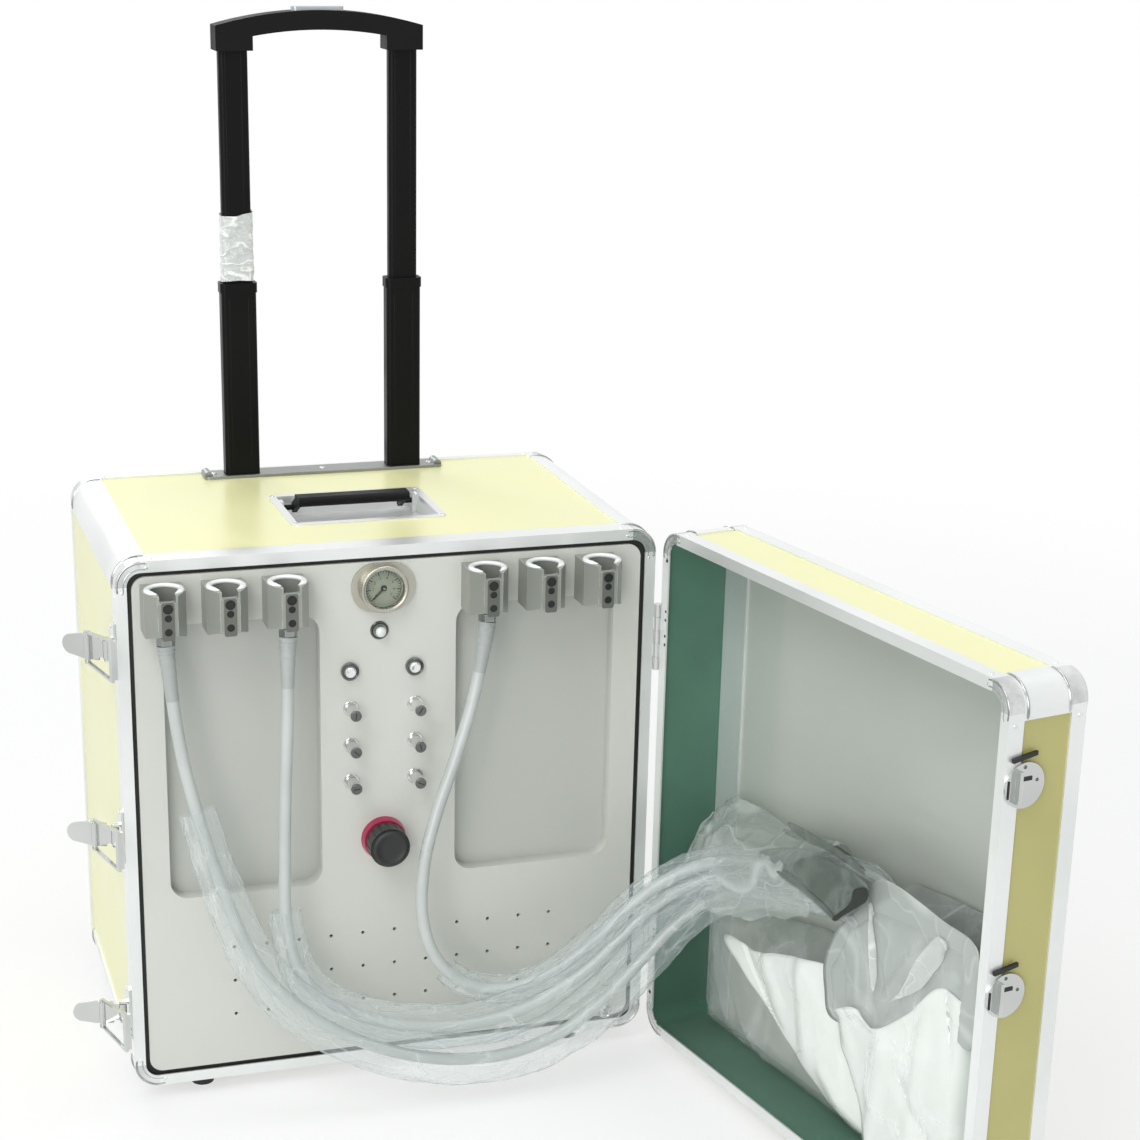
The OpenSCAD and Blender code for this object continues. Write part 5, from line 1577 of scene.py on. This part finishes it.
class CaseHardware:
    """Rivets, screws and stops on the case, the door, the latches and the hinges."""

    latch_heights = (412.0, 242.0, 72.0)
    hinge_heights = (388.5, 101.5)
    # places of the castings' rivets: along the edge, in from the face, and along the face
    edge_run = 31
    edge_in = 6
    face_run = 27
    # radius past the corner's own, depth out of the face, and thickness of each bead
    beads = ((-1.6, 0.1, 1.2), (-7.0, 0.1, 1.0), (0.1, -16.0, 1.1))
    # how far beads and rivets are sunk where case and door meet
    sunk = 0.9
    # outer faces of the latch bases, the stops and the catch plates
    latch_x = -242.4
    stop_x = -241.8
    catch_x = -242.0
    # tops of the carry tray's rim and the handle's base plate
    tray_z = 489.6
    plate_z = 491.4

    def build(self, paint: Paint, heads: Fastenings) -> None:
        """Makes all heads and the small dark stops."""
        self._corner_rivets(heads)
        self._beads(paint)
        self._hinge_rivets(heads)
        self._latch_parts(paint, heads)
        self._tray_screws(heads)

    def _corner_rivets(self, heads: Fastenings) -> None:
        """Puts rivets on the corner castings of case and door."""
        w, d, h = PLANES.case_w / 2, PLANES.case_d / 2, PLANES.case_h
        spots: list[Spot] = []
        for sx in (-1, 1):
            for front in (-1, 1):
                for top in (0, 1):
                    x, y, z = sx * w, front * d, h if top else 0
                    up = 1 if top else -1
                    inner = y - front * self.edge_in
                    spots.append(Spot(mm(x - sx * self.edge_run, inner, z), Vector((0, 0, up)), 2.0))
                    spots.append(Spot(mm(x, inner, z - up * self.edge_run), Vector((sx, 0, 0)), 2.0))
                    if front < 0:
                        for dx, dz in ((self.edge_in, self.face_run), (self.face_run, self.edge_in)):
                            place = mm(x - sx * dx, y + self.sunk - 0.4, z - up * dz)
                            spots.append(Spot(place, Vector((0, -1, 0)), 1.9))
        heads.put("case_rivets", "case", spots, "polished")
        turn = PLANES.open_matrix()
        rim, out = PLANES.rim_y, PLANES.rim_y - PLANES.door_t
        door: list[Spot] = []
        for sx in (-1, 1):
            for top in (0, 1):
                x, z, up = sx * w, h if top else 0, 1 if top else -1
                for y in (rim - self.edge_in, out + self.edge_in):
                    door.append(Spot(mm(x - sx * self.edge_run, y, z), Vector((0, 0, up)), 2.0))
                    door.append(Spot(mm(x, y, z - up * self.edge_run), Vector((sx, 0, 0)), 2.0))
                for dx, dz in ((self.edge_in, self.face_run), (self.face_run, self.edge_in)):
                    place = mm(x - sx * dx, rim - self.sunk + 0.4, z - up * dz)
                    door.append(Spot(place, Vector((0, 1, 0)), 1.9))
        spots = [Spot(turn @ s.place, turn.to_3x3() @ s.out, s.radius) for s in door]
        heads.put("door_rivets", "door", spots, "polished")

    def _beads(self, paint: Paint) -> None:
        """Makes the raised beads that run round each corner casting of case and door."""
        front, back = -PLANES.case_d / 2, PLANES.case_d / 2
        rim, out = PLANES.rim_y, PLANES.rim_y - PLANES.door_t
        for name, faces, move in (
            ("case", ((front + self.sunk, -1), (back, 1)), Matrix.Identity(4)),
            ("door", ((rim - self.sunk, 1), (out, -1)), PLANES.open_matrix()),
        ):
            shell = Shell()
            for (y, way), sx, top in ((f, sx, top) for f in faces for sx in (-1, 1) for top in (0, 1)):
                for more, deep, thick in self.beads:
                    rings = self._bead(sx, top, PLANES.edge_r + more, y + way * deep, thick)
                    shell.add_rings([[move @ point for point in ring] for ring in rings])
            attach(shell.piece(f"corner_beads_{name}", paint["bead_chrome"], 60), name)

    @staticmethod
    def _bead(sx: int, top: int, radius: float, y: float, thick: float) -> list[list[Vector]]:
        """Gives the rings of one bead, which runs round a corner and a little way along both edges.

        Args:
            sx: The corner's side, -1 on the left and 1 on the right.
            top: Whether it is an upper corner.
            radius: Radius of the bend, in millimetres.
            y: Depth of the bead's middle.
            thick: The bead's own radius.

        Returns:
            The rings, in metres.
        """
        w, h, r, ahead = PLANES.case_w / 2, PLANES.case_h, PLANES.edge_r, Vector((0, 1, 0))
        sz = 1 if top else -1
        cx, cz = sx * (w - r), (h - r) if top else r
        rings, steps, sides = [], 16, 8
        for i in range(steps + 1):
            angle = math.radians(-18 + 126 * i / steps)
            c, q = min(1.0, max(0.0, math.cos(angle))), min(1.0, max(0.0, math.sin(angle)))
            run_x = -max(0.0, -math.cos(angle)) * r
            run_z = -max(0.0, -math.sin(angle)) * r
            way_out = Vector((sx * c, 0, sz * q)).normalized()
            middle = Vector((cx + sx * (radius * c + run_x), y, cz + sz * (radius * q + run_z)))
            ends = 0.3 if i in (0, steps) else 1.0
            turns = [TAU * k / sides for k in range(sides)]
            spokes = [way_out * math.cos(t) + ahead * math.sin(t) for t in turns]
            rings.append([(middle + spoke * thick * ends) * MM for spoke in spokes])
        return rings

    def _hinge_rivets(self, heads: Fastenings) -> None:
        """Puts rivets through the hinge leaves, and the dark screw on the door's lip."""
        spots, side = [], PLANES.open_matrix().to_3x3() @ Vector((1, 0, 0))
        for z in self.hinge_heights:
            for dz in (-22, 0, 22):
                spots.append(Spot(PLANES.on_door(-1.6, z + dz, 13), side, 2.1))
        heads.put("hinge_rivets", "door", spots, "polished")
        rim_out = PLANES.open_matrix().to_3x3() @ Vector((0, 1, 0))
        lip = [Spot(PLANES.on_door(a, z, 0.75), rim_out, 2.6) for a, z in ((7, 462), (5, 38))]
        lip += [Spot(PLANES.on_door(8, z, 0.4), rim_out, 1.7) for z in (415, 407, 392, 384, 129, 121, 104, 96)]
        heads.put("door_lip_screws", "door", lip, "port_black")

    def _latch_parts(self, paint: Paint, heads: Fastenings) -> None:
        """Puts rivets and rubber stops by the latches, and rivets on the catch plates."""
        left = Vector((-1, 0, 0))
        rivets, stops = [], []
        for z in self.latch_heights:
            for y, dz, r in ((-133, 18, 2.2), (-133, -18, 2.2), (-116, 0, 2.0)):
                rivets.append(Spot(mm(self.latch_x, y, z + dz), left, r))
            for dz in (-14, -20):
                stops.append(Spot(mm(self.stop_x, -147.5, z + dz), left, 2.3))
        heads.put("latch_rivets", "case", rivets, "polished")
        heads.put("latch_stops", "case", stops, "port_black", 0.8)
        turn = PLANES.open_matrix()
        catch = []
        for z in self.latch_heights:
            for dy, dz in ((-1, 14.5), (11, 3), (-5, -13.5)):
                place = turn @ mm(self.catch_x, PLANES.rim_y - 18 - dy, z + dz)
                catch.append(Spot(place, turn.to_3x3() @ left, 1.5))
        heads.put("catch_rivets", "door", catch, "dark_chrome", 0.6)
        marks = Shell()
        for z in self.latch_heights:
            for x, thick, y0, y1, z0, z1, slope in (
                (-242.2, 0.35, 9.4, 11.0, -8.5, 5.5, 0.0), (-242.2, 0.35, -11.0, -3.2, 3.6, 6.8, 0.0),
                (-240.4, 2.8, -14.0, 8.0, 21.0, 24.2, 1.8),
            ):
                corners = [
                    turn @ mm(x, PLANES.rim_y - 13 + y, z + dz)
                    for y, dz in ((y0, z0 + slope), (y1, z0 - slope), (y1, z1 - slope), (y0, z1 + slope))
                ]
                marks.add_slab(corners, turn.to_3x3() @ left, thick)
        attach(marks.piece("catch_slots", paint["port_black"], 30), "door")

    def _tray_screws(self, heads: Fastenings) -> None:
        """Puts screws in the carry tray's rim and the handle's base plate."""
        up = Vector((0, 0, 1))
        spots = [Spot(mm(x, y, self.tray_z), up, 2.2) for x in (-68, 68) for y in (-62, 38)]
        spots += [Spot(mm(x, 130, self.plate_z), up, 3.0) for x in (-106, 0, 106)]
        heads.put("top_screws", "case", spots, "nickel", 0.35)


# ---------- Trolley handle ----------


@dataclass(frozen=True)
class HandleDetails:
    """The leftover packing film on the left tube, and the ribs down the front of all the tubes."""

    tube_x: float = 79.0
    tube_y: float = 130.0
    upper: tuple[float, float] = (27.0, 13.0)
    lower: tuple[float, float] = (33.0, 18.0)
    film_low: float = 674.0
    film_high: float = 737.0
    film_keep: float = 0.05
    film_corner: float = 5.0
    tube_top: float = 885.0

    def build(self, paint: Paint) -> None:
        """Makes the film and the ribs."""
        self._film(paint)
        self._ribs(paint)

    def _film(self, paint: Paint) -> None:
        """Makes two turns of film round the left upper tube, with a loose torn edge on top."""
        rings, rows, sides, power = [], 34, 56, self.film_corner
        wide, deep = self.upper
        for i in range(rows + 1):
            share = i / rows
            z = self.film_low + (self.film_high - self.film_low) * share
            ring = []
            for k in range(sides):
                turn = TAU * k / sides
                c, s = math.cos(turn), math.sin(turn)
                # a rounded box that swells a little, with diagonal folds
                reach = (abs(c / (wide / 2)) ** power + abs(s / (deep / 2)) ** power) ** (-1 / power)
                spot = Vector((turn * 1.2, z * 0.08, 1.7))
                swell = 0.9 + 1.3 * abs(noise.noise(spot)) + 0.7 * abs(math.sin(z * 0.24 + turn * 2.2))
                lift = 2.6 * math.sin(turn + 0.6) * smooth_step(0.6, 1.0, share) - 1.5 * (1 - share) * s
                ring.append(mm(-self.tube_x + (reach + swell) * c, self.tube_y + (reach + swell) * s, z + lift))
            rings.append(ring)
        shell = Shell()
        shell.add_rings(rings, caps=False)
        film = shell.piece("handle_film", paint["wrap_film"], 180)
        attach(film, "handle_upper")
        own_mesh(film)
        LOG.info("film on the handle made")

    def _ribs(self, paint: Paint) -> None:
        """Makes two shallow ribs down the front of every tube."""
        turns = [TAU * k / 12 for k in range(12)]
        for name, body, (wide, deep), low, high in (
            ("upper", "handle_upper", self.upper, 690, 893),
            ("lower", "handle_lower", self.lower, 498, 660),
        ):
            shell = Shell()
            for side in (-1, 1):
                for across in (-wide * 0.27, wide * 0.27):
                    x, y = side * self.tube_x + across, self.tube_y - deep / 2
                    rings = []
                    for z, grow in ((low, 0.1), (low + 3, 1.0), (high - 3, 1.0), (high, 0.1)):
                        rings.append(
                            [mm(x + 1.1 * grow * math.cos(t), y + 0.1 - 0.4 * grow * math.sin(t), z) for t in turns]
                        )
                    shell.add_rings(rings)
            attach(shell.piece(f"tube_ribs_{name}", paint["handle_black"], 50), body)


# ---------- Pouches ----------


@dataclass(frozen=True)
class PouchShape:
    """One clear pouch in the door.

    Attributes:
        name: The pouch's side.
        outline: Its edge points as (along, up), in millimetres, going round it.
        deep: Distance from the rim to the pouch's front where it is fullest.
        back: Distance from the rim to its back.
        creases: Fold lines as (along, up, along, up, width, height), in millimetres.
        seed: Picks the crumple.
        round_in: Distance in from the edge at which the front is full.
        soft: Height of the crumple.
    """

    name: str
    outline: tuple[tuple[float, float], ...]
    deep: float
    back: float
    creases: tuple[tuple[float, float, float, float, float, float], ...]
    seed: float
    round_in: float
    soft: float


class Pouches:
    """The clear film pouches on the door's back panel, with white lining sheets inside."""

    LEFT = PouchShape(
        "left",
        (
            (30, 8), (150, 7.6), (312, 8), (300, 50), (288, 66), (272, 88), (252, 104), (240, 130),
            (228, 164), (205, 172), (150, 160), (100, 150), (60, 150), (36, 140), (27, 70),
        ),
        31.0,
        60.0,
        (
            (62, 140, 150, 10, 9, 4.5), (48, 135, 105, 10, 7, 3.5), (80, 140, 235, 15, 12, -4.0),
            (120, 160, 170, 90, 10, 4.0), (190, 168, 215, 60, 12, 4.5), (150, 160, 200, 150, 8, -4.0),
            (100, 150, 135, 120, 8, -3.0), (235, 60, 290, 12, 10, 4.0), (170, 60, 250, 10, 14, 3.0),
        ),
        3.1,
        46.0,
        3.6,
    )
    RIGHT = PouchShape(
        "right",
        (
            (318, 8), (402, 8), (446, 7.6), (450, 60), (450, 130), (449, 200), (448, 250), (438, 268),
            (380, 267), (340, 263), (311, 258), (291, 239), (272, 218), (258, 196), (248, 170),
            (252, 146), (260, 124), (270, 97), (282, 85), (295, 64),
        ),
        15.0,
        61.0,
        (
            (333, 168, 382, 240, 9, 5.0), (286, 238, 300, 140, 9, 4.5), (310, 240, 345, 160, 10, -3.5),
            (252, 130, 303, 152, 9, 4.0), (303, 152, 331, 146, 8, 4.5), (331, 146, 400, 205, 10, 3.5),
            (262, 180, 300, 110, 10, 3.0), (340, 140, 330, 20, 14, 3.5), (395, 190, 380, 30, 12, 3.5),
            (285, 85, 320, 20, 10, 3.0), (360, 120, 420, 60, 12, -3.0), (405, 250, 428, 150, 9, -3.0),
        ),
        8.6,
        22.0,
        2.2,
    )
    LEFT_LINING = (
        (76, 120), (120, 122), (160, 136), (215, 150), (226, 138), (238, 112), (250, 92), (268, 80),
        (284, 58), (302, 12), (268, 10), (220, 45), (171, 68), (101, 102),
    )
    RIGHT_LINING = (
        (252, 118), (300, 152), (331, 146), (374, 180), (404, 214), (432, 214), (447, 190), (448, 120),
        (446, 12), (330, 11), (300, 50), (284, 80), (264, 96),
    )
    # how deep the back of the pressed film lies, and the share of its depth that stays
    PRESS_BACK = 62.0
    PRESS_KEEP = 0.55
    # height of the door's floor, under which no film goes
    LOWEST = 7.0

    def build(self, paint: Paint) -> None:
        """Makes both pouches, their linings, the painted shade strips at the mouth and the veil over the hoses."""
        left = self._film(paint, self.LEFT)
        right = self._film(paint, self.RIGHT)
        for film in (left, right):
            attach(film, "door")
            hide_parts("door_pouches")
        for shape, outline in ((self.LEFT, self.LEFT_LINING), (self.RIGHT, self.RIGHT_LINING)):
            name, depth = f"pouch_lining_{shape.name}", self._behind(shape, 1.2)
            lining = self._leaf(name, paint["lining_white"], outline, depth, 3.2)
            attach(lining, "door")
        outer = self._behind(self.RIGHT, -0.7)
        flap = self._leaf("pouch_flap", paint["flap_film_and_shade"], self.FLAP, lambda a, z: self.FLAP_DEEP, 0.4)
        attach(flap, "door")
        # folded film patches on the right pouch: whiter where the film lies double, and also painted highlights for a
        # bright stripe and a glint
        for number, outline in enumerate(self.PATCHES, 1):
            patch = self._leaf(
                f"pouch_highlight_fold_{number}", paint["double_film_highlight"], outline,
                lambda a, z: min(outer(a, z), self.FLAP_DEEP - 1.5), 0.3,
            )
            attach(patch, "door")
        self._press(self._veil(paint))
        # dark film pieces of painted shade at the pouch's mouth and along the veil's top
        for name, finish, deep, outline in self.SHADES:
            shade = self._leaf(name, paint[finish], outline, lambda a, z, deep=deep: deep, 0.4)
            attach(shade, "door")
            self._press(shade)
        for piece in (right, flap):
            self._press(piece)
        LOG.info("pouches made")

    def _press(self, piece: bpy.types.Object) -> None:
        """Gives a film piece a mesh of its own."""
        back, front = PLANES.on_door(300, 200, self.PRESS_BACK), PLANES.on_door(300, 200, 0)
        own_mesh(piece)

    @staticmethod
    def _inside(a: float, z: float, outline: Sequence[tuple[float, float]]) -> float:
        """Signed distance to an outline, positive inside, in millimetres."""
        best, crossings = 1e9, False
        for (a0, z0), (a1, z1) in zip(outline, [*outline[1:], outline[0]]):
            da, dz = a1 - a0, z1 - z0
            t = max(0.0, min(1.0, ((a - a0) * da + (z - z0) * dz) / (da * da + dz * dz)))
            best = min(best, math.hypot(a - a0 - t * da, z - z0 - t * dz))
            if (z0 > z) != (z1 > z) and a < (z - z0) / (z1 - z0) * (a1 - a0) + a0:
                crossings = not crossings
        return best if crossings else -best

    def _front(self, shape: PouchShape, a: float, z: float, sharp: float = 1.0) -> float:
        """Finds how deep the pouch's front lies at a place.

        Args:
            shape: The pouch.
            a: Distance from the hinge side.
            z: Height.
            sharp: How much of the folds' height shows.

        Returns:
            The distance from the rim, in millimetres.
        """
        edge = max(0.0, self._inside(a, z, shape.outline))
        full = 1 - (1 - min(1.0, edge / shape.round_in)) ** 2.2
        folds = 0.0
        for a0, z0, a1, z1, width, height in shape.creases:
            da, dz = a1 - a0, z1 - z0
            length = math.hypot(da, dz)
            t = ((a - a0) * da + (z - z0) * dz) / length**2
            off = ((a - a0) * dz - (z - z0) * da) / length
            off += 2.0 * noise.noise(Vector((a * 0.03, z * 0.03, shape.seed)))
            fade = smooth_step(-0.12, 0.1, t) * (1 - smooth_step(0.88, 1.12, t))
            folds += height * fade * max(0.0, 1 - abs(off) / width)
        spot = Vector((a * 0.014, z * 0.014, shape.seed))
        crumple = shape.soft * (noise.noise(spot) + 0.42 * noise.noise(spot * 2.4))
        return shape.back - 4 + (shape.deep - shape.back + 4) * full - (folds * sharp + crumple) * min(1.0, edge / 12)

    def _behind(self, shape: PouchShape, gap: float) -> Callable[[float, float], float]:
        """Gives the depth at a gap behind a pouch's front, with softer folds where the gap is wide."""
        return lambda a, z: self._front(shape, a, z, 0.6 if gap > 1 else 1.0) + gap

    def _film(self, paint: Paint, shape: PouchShape) -> bpy.types.Object:
        """Makes a pouch's closed film shell from its outline."""
        outline, steps = self._dense(shape.outline), 30
        rings = [
            [PLANES.on_door(a, z, shape.back) for a, z in self._drawn_in(outline, 0.02)],
            [PLANES.on_door(a, z, shape.back) for a, z in outline],
        ]
        for i in range(steps):
            inner = self._drawn_in(outline, 1 - i / steps)
            rings.append([PLANES.on_door(a, z, self._front(shape, a, z)) for a, z in inner])
        shell = Shell()
        shell.add_rings(rings)
        return shell.piece(f"pouch_{shape.name}", paint["pouch_film"], 180)

    @staticmethod
    def _drawn_in(outline: Sequence[tuple[float, float]], keep: float) -> list[tuple[float, float]]:
        """Draws an outline in towards its middle, so that a share of its size is kept."""
        count = len(outline)
        mid_a, mid_z = sum(a for a, _ in outline) / count, sum(z for _, z in outline) / count
        return [(mid_a + (a - mid_a) * keep, mid_z + (z - mid_z) * keep) for a, z in outline]

    @staticmethod
    def _dense(outline: Sequence[tuple[float, float]]) -> list[tuple[float, float]]:
        """Runs a smooth closed line through an outline's points."""
        count = len(outline)
        points = [Vector((*outline[i % count], 0)) for i in range(-1, count + 2)]
        made: list[tuple[float, float]] = []
        for a, b, c, d in zip(points, points[1:], points[2:], points[3:]):
            for i in range(9):
                p = on_curve(a, b, c, d, i / 9)
                made.append((p.x, max(Pouches.LOWEST, p.y)))
        return made

    def _leaf(
        self, name: str, finish: bpy.types.Material, edge: Sequence[tuple[float, float]],
        depth: Callable[[float, float], float], thick: float,
    ) -> bpy.types.Object:
        """Makes a thin closed sheet over an outline in the door.

        Args:
            name: The piece's name.
            finish: Its material.
            edge: The outline's points as (along, up), in millimetres.
            depth: Gives the distance from the rim at a place.
            thick: Thickness away from the edge.

        Returns:
            The sheet.
        """
        outline, rings = self._dense(edge), []
        shares = [0.03, *(i / 16 for i in range(1, 17))]
        for is_back, order in ((True, shares), (False, shares[::-1])):
            for share in order:
                ring = []
                for a, z in self._drawn_in(outline, share):
                    from_edge = max(0.0, self._inside(a, z, edge))
                    own = thick * (0.1 + 0.9 * min(1.0, from_edge / 14))
                    ring.append(PLANES.on_door(a, z, depth(a, z) + (own if is_back else 0)))
                rings.append(ring)
        shell = Shell()
        shell.add_rings(rings)
        return shell.piece(name, finish, 180)

    # the flap's top edge by the mouth is raised so that its grey film also stands in for painted shadow on the back
    # panel
    FLAP_DEEP = 18.4
    FLAP = (
        (448, 180), (449, 248), (440, 268), (404, 271), (370, 275), (344, 277), (322, 275), (309, 264), (292, 238),
        (274, 217), (260, 196), (251, 170), (254, 148), (263, 126), (300, 128), (331, 122), (374, 150), (404, 186),
    )
    # outlines of the fold patches: a bright stripe and a triangle of painted highlight
    PATCHES = (
        ((309, 246), (315, 247), (323, 213), (327, 181), (322, 179), (315, 211)),
        ((351, 180), (357, 188), (393, 250), (403, 257), (411, 254), (408, 240), (386, 206)),
    )
    # name, finish, depth and outline of each painted shade at the mouth and along the veil's top
    SHADES = (
        ("wide_mouth_shade", "wide_mouth_shade", 9.0, (
            (161, 239), (202, 259), (241, 270), (274, 275), (301, 273), (316, 269), (318, 256),
            (300, 239), (277, 221), (253, 223), (225, 227), (190, 228), (166, 229),
        )),
        ("mouth_shade", "mouth_shade", 6.0, (
            (223, 256), (252, 270), (281, 273), (305, 274), (319, 270), (320, 258), (301, 241),
            (280, 224), (263, 227), (244, 232), (228, 239), (218, 246),
        )),
        ("notch_painted_shade", "black_painted_shade", 5.0, (
            (303, 260), (312, 266), (321, 268), (322, 259), (309, 247), (293, 234), (282, 224),
            (277, 225), (290, 237), (300, 249),
        )),
        ("low_mouth_shade_strip", "mouth_shade", 5.4, (
            (194, 233), (212, 232), (236, 231), (260, 228), (276, 224), (280, 226), (263, 232),
            (239, 235), (215, 236), (198, 236),
        )),
        ("high_mouth_shade_strip", "mouth_shade", 6.0, (
            (204, 283), (221, 286), (254, 287), (286, 286), (314, 281), (312, 277), (287, 280),
            (258, 279), (232, 277), (215, 278),
        )),
        ("veil_top_shade_strip", "mouth_shade", 44.0, (
            (150, 250), (190, 256), (226, 263), (262, 258), (264, 252), (228, 257), (190, 250), (150, 245),
        )),
    )

    VEIL_ROWS = (
        # along, then (deep, up) of the back edge, the top, the front and the low edge
        (14, (58, 150), (44, 172), (26, 168), (22, 146)),
        (34, (61, 205), (46, 222), (20, 190), (12, 150)),
        (62, (62, 234), (46, 246), (12, 208), (0, 160)),
        (100, (62.5, 240), (46, 250), (8, 224), (0, 160)),
        (145, (62.5, 240), (44, 250), (10, 234), (8, 168)),
        (190, (62.5, 239), (46, 256), (12, 240), (14, 186)),
        (226, (62.5, 238), (52, 262), (24, 252), (18, 200)),
    )

    def _veil(self, paint: Paint) -> bpy.types.Object:
        """Makes the loose film that hangs from the back panel over the hoses."""
        columns, rows = 74, 40
        keys = self.VEIL_ROWS
        grid: list[list[Vector]] = []
        for i in range(columns + 1):
            share = i / columns * (len(keys) - 1)
            j = min(int(share), len(keys) - 2)
            t = share - j
            t = t * t * (3 - 2 * t)
            along = keys[j][0] + (keys[j + 1][0] - keys[j][0]) * (share - j)
            control = []
            for c in range(1, 5):
                d = keys[j][c][0] + (keys[j + 1][c][0] - keys[j][c][0]) * t
                z = keys[j][c][1] + (keys[j + 1][c][1] - keys[j][c][1]) * t
                control.append(Vector((d, z, 0)))
            line = smooth_line(control, rows // 3)
            column = []
            for k, p in enumerate(line):
                free = smooth_step(0.0, 0.15, k / (len(line) - 1))
                spot = Vector((along * 0.02, k * 0.16, 4.2))
                fold = 5.0 * (0.45 - abs(noise.noise(spot))) + 2.6 * (0.4 - abs(noise.noise(spot * 2.9)))
                fold += 1.3 * math.sin(along * 0.35 + k * 0.35) * noise.noise(spot * 1.7)
                sway = 2 * noise.noise(spot * 3) * free
                column.append(PLANES.on_door(along + sway, p.y + fold * 0.8 * free, p.x - fold * free))
            grid.append(column)
        shell = Shell()
        shell.add_rings(grid, closed=False, caps=False)
        veil = shell.piece("pouch_veil", paint["veil_film"], 180, tidy=False)
        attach(veil, "door")
        return veil


# ---------- The whole ----------


def main() -> None:
    """Builds the unit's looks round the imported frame."""
    logging.basicConfig(level=logging.INFO, format="%(message)s")
    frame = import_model()
    paint = Paint()
    PhotoCamera().build()
    HoseSet().build(paint)
    CadFinishes().build(frame["nodes"], paint)
    heads = Fastenings(paint)
    HolderDetails().build(paint)
    GaugeFace().build(paint)
    PanelControls().build(paint)
    CaseHardware().build(paint, heads)
    HandleDetails().build(paint)
    Pouches().build(paint)
    Studio().build()
    bpy.context.view_layer.update()


if __name__ == "__main__":
    main()
